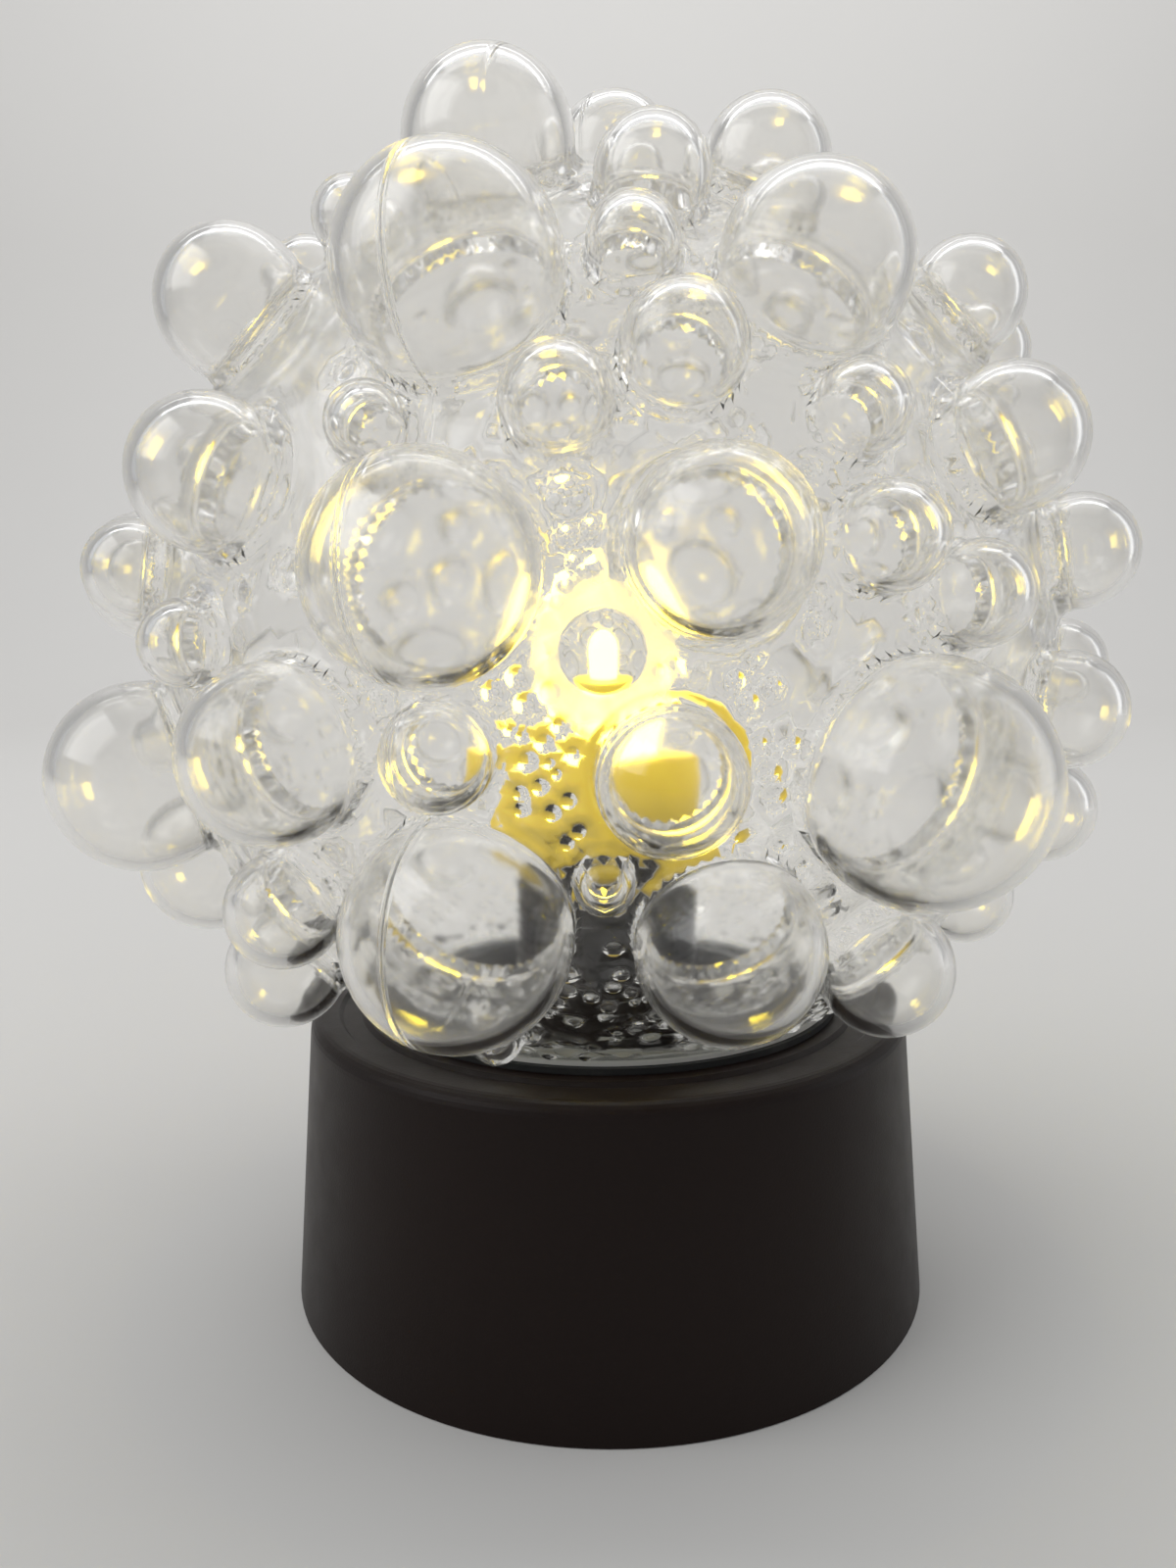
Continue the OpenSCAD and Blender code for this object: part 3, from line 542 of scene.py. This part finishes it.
class Signal:
    """One output of a node tree, with arithmetic as Math nodes."""

    def __init__(self, tree, socket):
        self.tree, self.socket = tree, socket

    def into(self, socket):
        self.tree.links.new(self.socket, socket)

    def math(self, operation, *values, at=0):
        node = self.tree.nodes.new("ShaderNodeMath")
        node.operation = operation
        self.into(node.inputs[at])
        for socket, value in zip([s for i, s in enumerate(node.inputs) if i != at], values):
            give(socket, value)
        return Signal(self.tree, node.outputs[0])

    def __add__(self, other):
        return self.math("ADD", other)

    def __mul__(self, other):
        return self.math("MULTIPLY", other)

    def __sub__(self, other):
        return self.math("SUBTRACT", other)

    def __rsub__(self, other):
        return self.math("SUBTRACT", other, at=1)

    def __truediv__(self, other):
        return self.math("DIVIDE", other)

    def __rtruediv__(self, other):
        return self.math("DIVIDE", other, at=1)

    def __pow__(self, other):
        return self.math("POWER", other)

    def __abs__(self):
        return self.math("ABSOLUTE")

    __radd__, __rmul__ = __add__, __mul__


def give(socket, value):
    """Links a signal to a socket, or sets the socket to a plain value."""
    if isinstance(value, Signal):
        value.into(socket)
    else:
        socket.default_value = value


class Finish:
    """A node material for one kind of surface, in the object's own coordinates."""

    def __init__(self, name):
        self.material = bpy.data.materials.new(name)
        self.material.use_nodes = True
        self.tree = self.material.node_tree
        self.tree.nodes.clear()
        self.place = self.node("ShaderNodeTexCoord", out="Object")
        self.x = self.node("ShaderNodeSeparateXYZ", {0: self.place}, out="X")
        node = self.x.socket.node
        self.y, self.z = (Signal(self.tree, node.outputs[axis]) for axis in "YZ")

    def node(self, kind, sockets=None, out=0, **settings):
        """Adds a node: its settings first, then the values or links of its sockets; gives one output."""
        node = self.tree.nodes.new(kind)
        for name, value in settings.items():
            setattr(node, name, value)
        for name, value in (sockets or {}).items():
            give(node.inputs[name], value)
        return Signal(self.tree, node.outputs[out]) if len(node.outputs) else node

    def noise(self, scale, detail=2.0, rough=0.5, place=None):
        return self.node("ShaderNodeTexNoise", {
            "Vector": place or self.place, "Scale": scale, "Detail": detail, "Roughness": rough})

    def cells(self, scale, out="Color"):
        return self.node("ShaderNodeTexVoronoi", {"Vector": self.place, "Scale": scale}, out=out)

    def step(self, value, low, high):
        return self.node("ShaderNodeMapRange", {"Value": value, "From Min": low, "From Max": high},
                         interpolation_type="SMOOTHSTEP")

    def radius(self):
        return (self.x * self.x + self.y * self.y) ** 0.5

    def lines(self, scale):
        """Fine rings round the axis, as a lathe leaves them."""
        spun = self.node("ShaderNodeCombineXYZ", {"X": self.radius(), "Z": self.z})
        return self.noise(scale, 3.0, 0.6, spun)

    def blend(self, share, low, high):
        node = self.node("ShaderNodeMix", {0: share}, out=2, data_type="RGBA")
        give(node.socket.node.inputs[6], low if isinstance(low, Signal) else (*low, 1))
        give(node.socket.node.inputs[7], high if isinstance(high, Signal) else (*high, 1))
        return node

    def bump(self, height, depth, normal=None):
        sockets = {"Height": height, "Distance": depth, "Strength": 1.0}
        if normal:
            sockets["Normal"] = normal
        return self.node("ShaderNodeBump", sockets)

    def surface(self, colour, roughness, metallic=0.0, normal=None, **plain):
        sockets = {"Base Color": colour, "Roughness": roughness, "Metallic": metallic}
        if normal:
            sockets["Normal"] = normal
        sockets.update({name.replace("_", " "): value for name, value in plain.items()})
        return self.node("ShaderNodeBsdfPrincipled", sockets)

    def done(self, shader):
        self.node("ShaderNodeOutputMaterial", {"Surface": shader})
        return self.material


def moulded_plastic(name, dark, light, gloss, grain):
    """Moulded plastic: a slow drift of tone, a blotchy gloss, and a fine even grain."""
    f = Finish(name)
    drift = f.noise(22, 2)
    blotch = f.noise(140, 4, 0.6)
    colour = f.blend(drift * 0.6 + blotch * 0.4, dark, light)
    normal = f.bump(f.noise(2600, 1.5), grain, f.bump(f.noise(90, 2), 2 * grain))
    return f.done(f.surface(colour, gloss + (blotch - 0.5) * 0.16, 0.0, normal, Specular_IOR_Level=0.17))


def soft_rubber(name, dark, light):
    """Rubber: matt, a little dusty in patches, with a coarse grain."""
    f = Finish(name)
    dust = f.step(f.noise(70, 5, 0.65), 0.5, 0.75)
    colour = f.blend(dust, dark, light)
    return f.done(f.surface(colour, 0.72 + dust * 0.14, 0.0, f.bump(f.noise(1300, 3), 0.05 * MM), IOR=1.45))


def turned_metal(name, bright, dull, gloss):
    """Spun or turned metal: fine rings round the axis and a duller bloom in patches."""
    f = Finish(name)
    rings = f.lines(2600)
    bloom = f.noise(120, 4, 0.6)
    colour = f.blend(rings * 0.5 + bloom * 0.5, dull, bright)
    return f.done(f.surface(colour, gloss + (bloom - 0.4) * 0.2 + (rings - 0.5) * 0.1, 1.0,
                            f.bump(rings, 0.03 * MM)))


def plated_metal(name, bright, dull, gloss):
    """Plated sheet metal: small crystal patches of unequal gloss and a cloudy passivation."""
    f = Finish(name)
    patch = f.node("ShaderNodeSeparateColor", {"Color": f.cells(420)})
    cloud = f.noise(150, 4, 0.6)
    colour = f.blend(patch * 0.45 + cloud * 0.55, dull, bright)
    return f.done(f.surface(colour, gloss + patch * 0.12 + (cloud - 0.5) * 0.12, 1.0,
                            f.bump(f.noise(900, 2), 0.02 * MM)))


def fired_ceramic(name, pale, speck):
    """Unglazed ceramic: pale, with sparse dark specks and a chalky grain."""
    f = Finish(name)
    specks = f.step(f.noise(1100, 2), 0.68, 0.74)
    colour = f.blend(specks * 0.6 + f.noise(60, 3) * 0.2, pale, speck)
    return f.done(f.surface(colour, 0.62 + specks * 0.1, 0.0, f.bump(f.noise(1700, 3), 0.04 * MM)))


def lit_opal(name, glow, edge, strength):
    """Frosted capsule lit from inside: bright, deeper yellow at its foot, with a faint cloudiness."""
    f = Finish(name)
    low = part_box("bulb_envelope")[0].z
    share = f.step(f.z, low + 2 * MM, low + 6 * MM) * 0.9 + f.noise(90, 2) * 0.1
    light = f.blend(share, edge, glow)
    return f.done(f.surface(light, 0.3 + f.noise(500, 2) * 0.1, 0.0, None,
                            Emission_Color=light, Emission_Strength=strength))


def plastic_with_painted_glow(name, dark, light, glow, strength):
    """Pale plastic with painted light: an emission, brighter towards the top and fading towards the foot over
    the cap, stands in for the bulb's light falling on it.
    """
    f = Finish(name)
    low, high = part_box("bulb_housing")[0].z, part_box("bulb_housing")[1].z
    blotch = f.noise(140, 4, 0.6)
    # Painted light: the glow grows with height towards the lit capsule, with a random blotch in it
    lit = f.step(f.z, low + 4 * MM, low + 12 * MM) * 0.4 + f.step(f.z, low + 9 * MM, high) * 0.45
    painted_glow = f.blend(lit + blotch * 0.15, (0.0, 0.0, 0.0), glow)
    return f.done(f.surface(f.blend(blotch, dark, light), 0.36 + (blotch - 0.5) * 0.16, 0.0,
                            f.bump(f.noise(2600, 1.5), 0.015 * MM),
                            Emission_Color=painted_glow, Emission_Strength=strength))


def lit_phosphor(name, glow, edge, strength):
    """Light chip: rows of small lit cells in a softer yellow coat."""
    f = Finish(name)
    dots = f.step(f.cells(560, "Distance"), 0.55, 0.25)
    light = f.blend(dots, edge, glow)
    return f.done(f.surface(light, 0.5 - dots * 0.2, 0.0, None,
                            Emission_Color=light, Emission_Strength=strength))


def coated_board(name, pale, track):
    """Circuit board: white coat with faint upright tracks under it."""
    f = Finish(name)
    line = f.step(abs(((f.x * 400).math("FRACT")) - 0.5), 0.18, 0.24)
    colour = f.blend(line * 0.5 + f.noise(300, 2) * 0.2, track, pale)
    return f.done(f.surface(colour, 0.34 + line * 0.08, 0.0, f.bump(line, 0.03 * MM)))


def clear_glass(name, look):
    """Clear blown glass: smooth, faintly uneven skin with the raised seams of a four-part mould.

    The seams run where the distance from either of two upright planes through the axis is small. Round
    each pit, from its edge to about twice its angle, the skin is finely pebbled and spreads the light.
    """
    f = Finish(name)
    cos, sin = math.cos(SEAM_TURN), math.sin(SEAM_TURN)
    seams = [abs(f.x * cos + f.y * sin), abs(f.x * sin - f.y * cos)]
    seam = seams[0].math("MINIMUM", seams[1])
    raised = f.step(seam, 0.55 * MM, 0.1 * MM)
    uneven = f.bump(f.noise(60, 2), 0.15 * MM)
    normal = f.bump(raised, 0.07 * MM, uneven)
    height = f.z - SEAT - math.sqrt(look.body ** 2 - look.shoulder ** 2)
    far = (f.x * f.x + f.y * f.y + height * height) ** 0.5
    along = [f.x * a + f.y * b + height * c for a, b, c in heading(*np.array(PITS).T).tolist()]
    near = along[0].math("MAXIMUM", along[1]).math("MAXIMUM", along[2]).math("MAXIMUM", along[3])
    lean = (near / far).math("ARCCOSINE")
    edge = math.asin(look.pit / (look.body - look.wall))
    ring = f.step(lean, edge, 1.08 * edge) * f.step(lean + f.noise(320, 2) * 0.06, 2.3 * edge, 1.9 * edge)
    on_body = f.step(far, look.body + 3 * MM, look.body + 1.2 * MM)
    haze = 0.08 + f.step(f.noise(160, 3), 0.6, 0.85) * 0.03 + ring * on_body * look.pebbling
    glass = f.surface((*look.tint, 1), haze, 0.0, normal, IOR=look.bend, Transmission_Weight=1.0)
    through = f.node("ShaderNodeBsdfTransparent", {"Color": (0.96, 0.97, 0.96, 1)})
    shadow = f.node("ShaderNodeLightPath", out="Is Shadow Ray")
    return f.done(f.node("ShaderNodeMixShader", {0: shadow, 1: glass, 2: through}))


def paint(material, *nodes):
    """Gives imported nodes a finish."""
    for name in nodes:
        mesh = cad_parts[name].data
        mesh.materials.clear()
        mesh.materials.append(material)


class GlassLook(bpy.types.PropertyGroup):
    body: FloatProperty(name="Body radius", description="Radius of the round body between the bubbles",
                        default=86 * MM, unit="LENGTH")
    shoulder: FloatProperty(name="Shoulder radius", description="Radius of the flat seat under the body",
                            default=45.75 * MM, unit="LENGTH")
    neck: FloatProperty(name="Neck radius", description="Radius over the neck's screw thread",
                        default=42.25 * MM, unit="LENGTH")
    pitch: FloatProperty(name="Thread pitch", description="Rise of the neck's thread in one turn",
                         default=5 * MM, unit="LENGTH")
    wall: FloatProperty(name="Wall", description="Thickness of the body and the neck",
                        default=3 * MM, unit="LENGTH")
    bubble_wall: FloatProperty(name="Bubble wall", description="Thickness over a bubble's pocket",
                               default=1.8 * MM, unit="LENGTH")
    lip: FloatProperty(name="Lip", description="Rounding where a pocket opens to the inside",
                       default=2 * MM, unit="LENGTH")
    pit: FloatProperty(name="Pit radius", description="Radius of a shallow pit inside the wall",
                       default=5.75 * MM, unit="LENGTH")
    pit_depth: FloatProperty(name="Pit depth", description="Depth of such a pit at its middle",
                             default=1.3 * MM, unit="LENGTH")
    rounding: FloatProperty(name="Rounding", description="Rounding at the foot of a bubble",
                            default=3.2 * MM, unit="LENGTH")
    step: FloatProperty(name="Mesh step", description="Distance between points on a bubble",
                        default=1.6 * MM, unit="LENGTH")
    fill: FloatProperty(name="Body step", description="Distance between points on the body",
                        default=3 * MM, unit="LENGTH")
    pebble_gap: FloatProperty(name="Pebble distance", description="Distance between the strewn pebbles",
                              default=4.3 * MM, unit="LENGTH")
    pebble_radius: FloatProperty(name="Pebble radius", description="Radius of the largest strewn pebble",
                                 default=2.7 * MM, unit="LENGTH")
    pebble_rise: FloatProperty(name="Pebble rise", description="Height of a pebble as a share of its radius",
                               default=0.38, subtype="FACTOR")
    pebbling: FloatProperty(name="Pebbling", description="Added roughness of the fine pebbling round a pit",
                            default=0.27, subtype="FACTOR")
    seed: IntProperty(name="Scatter", description="Number that sets the scatter of the pebbles", default=4)
    bend: FloatProperty(name="Index", description="Refractive index of the glass", default=1.5)
    tint: FloatVectorProperty(name="Tint", description="Colour of the glass", subtype="COLOR",
                              default=(0.99, 0.985, 0.97))


class LampLook(bpy.types.PropertyGroup):
    plastic: FloatVectorProperty(name="Base colour", description="Colour of the base", subtype="COLOR",
                                 default=(0.008, 0.0038, 0.0028))
    plastic_gloss: FloatProperty(name="Base roughness", description="Roughness of the base", default=0.4,
                                 subtype="FACTOR")
    glow: FloatVectorProperty(name="Light colour", description="Colour of the lit bulb", subtype="COLOR",
                              default=(1.0, 0.77, 0.06))
    glow_strength: FloatProperty(name="Light strength", description="Strength of the lit bulb", default=26.0)
    cap_pitch: FloatProperty(name="Cap pitch", description="Rise of the bulb cap's thread in one turn",
                             default=3.62 * MM, unit="LENGTH")
    barrel_pitch: FloatProperty(name="Barrel pitch", default=2.5 * MM, unit="LENGTH",
                                description="Rise of the holder barrel's thread in one turn")
    nipple_pitch: FloatProperty(name="Nipple pitch", description="Rise of the nipple's thread in one turn",
                                default=1.0 * MM, unit="LENGTH")


class StudioLook(bpy.types.PropertyGroup):
    floor: FloatVectorProperty(name="Floor", description="Colour of the floor and backdrop", subtype="COLOR",
                               default=(0.76, 0.75, 0.73))
    key: FloatProperty(name="Key light", description="Power of the window-like light at the left",
                       default=6.0, unit="POWER")
    side: FloatProperty(name="Side light", description="Power of the tall light at the right",
                        default=0.9, unit="POWER")
    top: FloatProperty(name="Top light", description="Power of the light above", default=1.6, unit="POWER")
    wash: FloatProperty(name="Backdrop light", description="Power of the light on the backdrop", default=16.0,
                        unit="POWER")
    sky: FloatProperty(name="Sky", description="Strength of the even light all round", default=0.5)


class LAMP_OT_base(bpy.types.Operator):
    """Finish the base with its seal and fixings, and cut the collar's thread"""
    bl_idname = "lamp.base"
    bl_label = "Base and seal"

    def execute(self, context):
        look, glass = context.scene.lamp_look, context.scene.lamp_glass
        dark = look.plastic
        plastic = moulded_plastic("base_plastic", tuple(0.8 * c for c in dark), tuple(1.5 * c for c in dark),
                                  look.plastic_gloss, 0.025 * MM)
        rubber = soft_rubber("black_rubber", (0.012, 0.012, 0.012), (0.05, 0.048, 0.045))
        steel = plated_metal("zinc_steel", (0.72, 0.72, 0.69), (0.5, 0.5, 0.48), 0.28)
        fibre = moulded_plastic("washer_fibre", (0.62, 0.6, 0.55), (0.78, 0.76, 0.72), 0.5, 0.03 * MM)
        paint(plastic, "base_housing")
        paint(rubber, "cable_grommet", "shade_gasket")
        paint(steel, "mounting_bracket", "bracket_screw_left", "bracket_screw_right", "nipple_nut")
        paint(fibre, "slip_washer")

        # A ribbon on the collar's bore: its back lies in the wall, and its front carries the thread
        columns, rows = 180, 26
        low, high = RIM - 13 * MM, RIM - 1.5 * MM
        bore, back, skin, rise = glass.neck + 0.5 * MM, 0.3 * MM, 0.15 * MM, 0.5 * MM
        up = np.linspace(low, high, rows)
        up = np.concatenate([up, up[::-1]])[:, None]
        hidden = (np.arange(2 * rows) < rows)[:, None]
        ridge = thread(up + glass.pitch / 2, columns, glass.pitch, RIM - 10 * MM, RIM + 0.5 * MM, 2 * MM)
        out = np.where(hidden, bore + back, bore + skin - rise * ridge)
        spun("collar_thread", out, up, columns, body="base", slot="base_plastic", material=plastic)
        return {"FINISHED"}


class LAMP_OT_holder(bpy.types.Operator):
    """Finish the lampholder and cut the threads of its barrel and nipple"""
    bl_idname = "lamp.holder"
    bl_label = "Lampholder"

    def execute(self, context):
        look = context.scene.lamp_look
        black = moulded_plastic("holder_plastic", (0.016, 0.010, 0.007), (0.032, 0.021, 0.015),
                                0.3, 0.012 * MM)
        brass = turned_metal("brass", (0.78, 0.56, 0.24), (0.52, 0.36, 0.15), 0.3)
        paint(black, "lampholder_cap", "ring_nut")
        paint(fired_ceramic("pale_ceramic", (0.78, 0.75, 0.68), (0.35, 0.31, 0.26)), "contact_carrier")
        paint(brass, "holder_shell", "live_post", "neutral_post", "terminal_live", "terminal_neutral")
        paint(turned_metal("spring_bronze", (0.8, 0.5, 0.25), (0.55, 0.33, 0.16), 0.25), "centre_contact")
        paint(turned_metal("shield_aluminium", (0.86, 0.86, 0.85), (0.68, 0.68, 0.67), 0.3), "heat_shield")

        # The barrel's outline from its foot up the outside, threaded above the shoulder, and down the bore
        columns, rows, rise = 96, 110, 0.7 * MM
        foot, barrel, mouth, bore = 18, 16.5, 14.55, 12.55
        low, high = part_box("lampholder_body")[0].z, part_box("lampholder_body")[1].z
        shoulder, ledge = low + 9 * MM, low + 12.05 * MM
        below = [low, low, shoulder - 0.6 * MM, shoulder - 0.2 * MM, shoulder]
        up = np.concatenate([
            below,
            np.linspace(shoulder + 0.02 * MM, high - 1 * MM, rows),
            [high - 0.3 * MM, high, high, high - 0.2 * MM, high - 0.6 * MM, ledge, ledge],
        ])[:, None]
        width = np.concatenate([
            [bore, foot, foot, foot - 0.2, foot - 0.6],
            np.full(rows, barrel),
            [barrel - 0.3, barrel - 0.6, mouth + 0.6, mouth + 0.2, mouth, mouth, bore],
        ])[:, None] * MM
        row = np.arange(len(up))[:, None]
        turned = (row >= len(below)) & (row < len(below) + rows)
        ridge = thread(up, columns, look.barrel_pitch, shoulder - 9 * MM, high - 2 * MM, 3 * MM)
        cut = rise * (1 - ridge) * turned * smooth_step((up - shoulder) / (1 * MM))
        spun("holder_barrel", width - cut, up, columns, body="base", slot="holder_plastic",
             material=black, stands_for=["lampholder_body"])

        # The nipple's outline up its thread and down its bore
        columns, rows, rise = 40, 160, 0.35 * MM
        crest, end, bore = 5.0, 4.6, 3.8
        low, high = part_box("nipple")[0].z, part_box("nipple")[1].z
        wall = np.linspace(low + 0.3 * MM, high - 0.3 * MM, rows)
        up = np.concatenate([[low], wall, [high, high, low]])[:, None]
        width = np.concatenate([[end], np.full(rows, crest), [end, bore, bore]])[:, None] * MM
        row = np.arange(len(up))[:, None]
        turned = (row > 0) & (row <= rows)
        ridge = thread(up, columns, look.nipple_pitch, low - 1 * MM, high + 1 * MM, 1 * MM)
        spun("nipple_thread", width - rise * (1 - ridge) * turned, up, columns, body="base", slot="brass",
             material=brass, stands_for=["nipple"])
        return {"FINISHED"}


class LAMP_OT_wiring(bpy.types.Operator):
    """Lay the lamp leads and set the terminal block's screws"""
    bl_idname = "lamp.wiring"
    bl_label = "Wiring"

    def execute(self, context):
        grain = 0.02 * MM
        pale = moulded_plastic("pale_plastic", (0.66, 0.64, 0.58), (0.78, 0.76, 0.7), 0.42, grain)
        brown = moulded_plastic("brown_sleeve", (0.10, 0.045, 0.02), (0.16, 0.075, 0.035), 0.4, grain)
        blue = moulded_plastic("blue_sleeve", (0.02, 0.07, 0.26), (0.04, 0.12, 0.36), 0.4, grain)
        paint(pale, "terminal_block")
        make_lead("brown_lead", LIVE_ROUTE, brown, "brown_sleeve", "live_wire")
        make_lead("blue_lead", NEUTRAL_ROUTE, blue, "blue_sleeve", "neutral_wire")
        steel = bpy.data.materials["zinc_steel"]
        low, high, radius = 12.8 * MM, 15.4 * MM, 1.55 * MM
        for pole, x in (("live", -24), ("neutral", -14)):
            for end, y in (("in", -5), ("out", 5)):
                make_screw(f"{pole}_screw_{end}", x * MM, y * MM, low, high, radius, steel)
        return {"FINISHED"}


class LAMP_OT_bulb(bpy.types.Operator):
    """Finish the bulb and roll its cap's thread"""
    bl_idname = "lamp.bulb"
    bl_label = "Bulb"

    def execute(self, context):
        look = context.scene.lamp_look
        glow = tuple(look.glow)
        edge = (0.5 * glow[0], 0.46 * glow[1], 0.2 * glow[2])
        chip_share, painted_glow_share = 0.6, 0.06
        opal = lit_opal("opal", glow, edge, look.glow_strength)
        phosphor = lit_phosphor("phosphor", glow, edge, chip_share * look.glow_strength)
        board = coated_board("board_white", (0.82, 0.82, 0.8), (0.6, 0.62, 0.6))
        # The housing is white plastic: its yellow-tan colours and its glow, a share of the bulb's strength,
        # are painted light from the bulb
        white = plastic_with_painted_glow("white_plastic", (0.38, 0.33, 0.19), (0.45, 0.4, 0.25), edge,
                                painted_glow_share * look.glow_strength)
        black = moulded_plastic("cap_insulator", (0.008, 0.008, 0.009), (0.02, 0.02, 0.021), 0.2, 0.01 * MM)
        tip = turned_metal("tip_metal", (0.8, 0.77, 0.68), (0.6, 0.57, 0.5), 0.3)
        paint(opal, "bulb_envelope")
        paint(phosphor, "led_chip")
        paint(board, "led_board")
        paint(white, "bulb_housing")
        paint(black, "bulb_insulator")
        paint(tip, "bulb_tip")

        # The cap's outline up its thread, which ends in a plain band, and down the inside
        cap = turned_metal("cap_metal", (0.78, 0.77, 0.75), (0.6, 0.59, 0.57), 0.24)
        columns, rows, back_rows = 96, 70, 12
        root, rise, inside, band = 12.6 * MM, 0.5 * MM, 12.46 * MM, 0.9
        low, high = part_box("bulb_cap")[0].z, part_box("bulb_cap")[1].z
        up = np.concatenate([np.linspace(low, high, rows), np.linspace(high, low, back_rows)])[:, None]
        ridge = thread(up, columns, look.cap_pitch, low - 1 * MM, high - 4 * MM, 1.5 * MM)
        front = (np.arange(rows + back_rows) < rows)[:, None]
        plain = smooth_step((up - high + 4.5 * MM) / (1 * MM))
        out = np.where(front, root + rise * np.maximum(ridge, band * plain), inside)
        spun("cap_thread", out, up, columns, body="bulb_base", slot="cap_metal", material=cap,
             stands_for=["bulb_cap"])
        return {"FINISHED"}


class LAMP_OT_shade(bpy.types.Operator):
    """Blow the bubble glass with its screw neck"""
    bl_idname = "lamp.shade"
    bl_label = "Bubble glass"

    def execute(self, context):
        look = context.scene.lamp_glass
        make_glass(look, clear_glass("clear_glass", look))
        return {"FINISHED"}


class LAMP_OT_stage(bpy.types.Operator):
    """Set the floor, backdrop, lights and camera"""
    bl_idname = "lamp.stage"
    bl_label = "Stage"

    def execute(self, context):
        scene, look = context.scene, context.scene.lamp_studio

        # The floor runs back, bends up in a quarter circle and ends as an upright backdrop
        reach, start, radius, top, drop = 4.0, 1.4, 0.9, 4.0, 0.0002
        bend = np.linspace(0, math.pi / 2, 24)
        run = np.concatenate([[-reach], start + radius * np.sin(bend), [start + radius]])
        rise = np.concatenate([[0.0], radius - radius * np.cos(bend), [top]])
        side = np.array([-reach, reach])
        points = np.stack(np.broadcast_arrays(side[None], run[:, None], rise[:, None] - drop), axis=-1)
        row = np.arange(len(run) - 1) * 2
        faces = np.stack([row, row + 1, row + 3, row + 2], axis=-1)
        f = Finish("studio_paper")
        tone = tuple(look.floor)
        colour = f.blend(f.noise(6, 3), tuple(0.985 * c for c in tone), tone)
        mesh = bpy.data.meshes.new("backdrop")
        mesh.from_pydata(points.reshape(-1, 3).tolist(), [], faces.tolist(), shade_flat=False)
        mesh.materials.append(f.done(f.surface(colour, 0.8 + f.noise(900, 2) * 0.1)))
        backdrop = bpy.data.objects.new("backdrop", mesh)
        scene.collection.objects.link(backdrop)

        middle = (0, 0, 0.13)
        for name, place, aim, size, power in (
            ("key", (-1.05, -0.4, 0.95), middle, (1.1, 1.1), look.key),
            ("side", (0.95, 0.1, 0.45), middle, (0.5, 1.1), look.side),
            ("top", (0.1, 0.35, 1.2), middle, (1.3, 1.0), look.top),
            ("wash", (0, 0.9, 1.9), (0, 2.3, 0.8), (3.0, 0.4), look.wash),
        ):
            light = bpy.data.lights.new(name, "AREA")
            light.shape, light.size, light.size_y, light.energy = "RECTANGLE", *size, power
            lamp = bpy.data.objects.new(name, light)
            lamp.location = place
            way = lamp.location - Vector(aim)
            lamp.rotation_euler = way.to_track_quat("Z", "Y").to_euler()
            scene.collection.objects.link(lamp)

        world = bpy.data.worlds.new("studio")
        world.use_nodes = True
        sky = world.node_tree.nodes["Background"]
        sky.inputs["Color"].default_value = (0.97, 0.98, 1.0, 1)
        sky.inputs["Strength"].default_value = look.sky
        scene.world = world

        ahead = np.array([0, math.cos(CAMERA_DOWN), -math.sin(CAMERA_DOWN)])
        level_up = np.array([0, math.sin(CAMERA_DOWN), math.cos(CAMERA_DOWN)])
        level_right = np.array([1.0, 0, 0])
        right = math.cos(CAMERA_ROLL) * level_right + math.sin(CAMERA_ROLL) * level_up
        above = -math.sin(CAMERA_ROLL) * level_right + math.cos(CAMERA_ROLL) * level_up
        turned = np.eye(4)
        turned[:3] = np.stack([right, above, -ahead, CAMERA_PLACE], axis=-1)
        view = bpy.data.cameras.new("camera")
        view.lens, view.sensor_width, view.clip_start = CAMERA_LENS, CAMERA_SENSOR, 0.01
        camera = bpy.data.objects.new("camera", view)
        scene.collection.objects.link(camera)
        camera.matrix_world = Matrix(turned.tolist())
        scene.camera = camera
        scene.view_settings.view_transform = "Standard"

        # Light passes many skins of glass
        bounces = 32
        scene.cycles.max_bounces = bounces
        scene.cycles.glossy_bounces = bounces
        scene.cycles.transmission_bounces = bounces
        scene.cycles.transparent_max_bounces = bounces
        scene.cycles.caustics_reflective = False
        scene.cycles.caustics_refractive = False
        return {"FINISHED"}


STEPS = (LAMP_OT_base, LAMP_OT_holder, LAMP_OT_wiring, LAMP_OT_bulb, LAMP_OT_shade, LAMP_OT_stage)


class LAMP_PT_panel(bpy.types.Panel):
    """Sizes, colours and steps of the lamp"""
    bl_label = "Ceiling lamp"
    bl_idname = "LAMP_PT_panel"
    bl_space_type = "VIEW_3D"
    bl_region_type = "UI"
    bl_category = "Lamp"

    def draw(self, context):
        for group in (context.scene.lamp_glass, context.scene.lamp_look, context.scene.lamp_studio):
            box = self.layout.box()
            for name in group.__annotations__:
                box.prop(group, name)
        for step in STEPS:
            self.layout.operator(step.bl_idname)


CLASSES = (GlassLook, LampLook, StudioLook, *STEPS, LAMP_PT_panel)


def register():
    for cls in CLASSES:
        bpy.utils.register_class(cls)
    bpy.types.Scene.lamp_glass = PointerProperty(type=GlassLook)
    bpy.types.Scene.lamp_look = PointerProperty(type=LampLook)
    bpy.types.Scene.lamp_studio = PointerProperty(type=StudioLook)


def unregister():
    del bpy.types.Scene.lamp_studio, bpy.types.Scene.lamp_look, bpy.types.Scene.lamp_glass
    for cls in reversed(CLASSES):
        bpy.utils.unregister_class(cls)


def main():
    register()
    bpy.ops.lamp.base()
    bpy.ops.lamp.holder()
    bpy.ops.lamp.wiring()
    bpy.ops.lamp.bulb()
    bpy.ops.lamp.shade()
    bpy.ops.lamp.stage()
    bpy.context.view_layer.update()


if __name__ == "__main__":
    main()
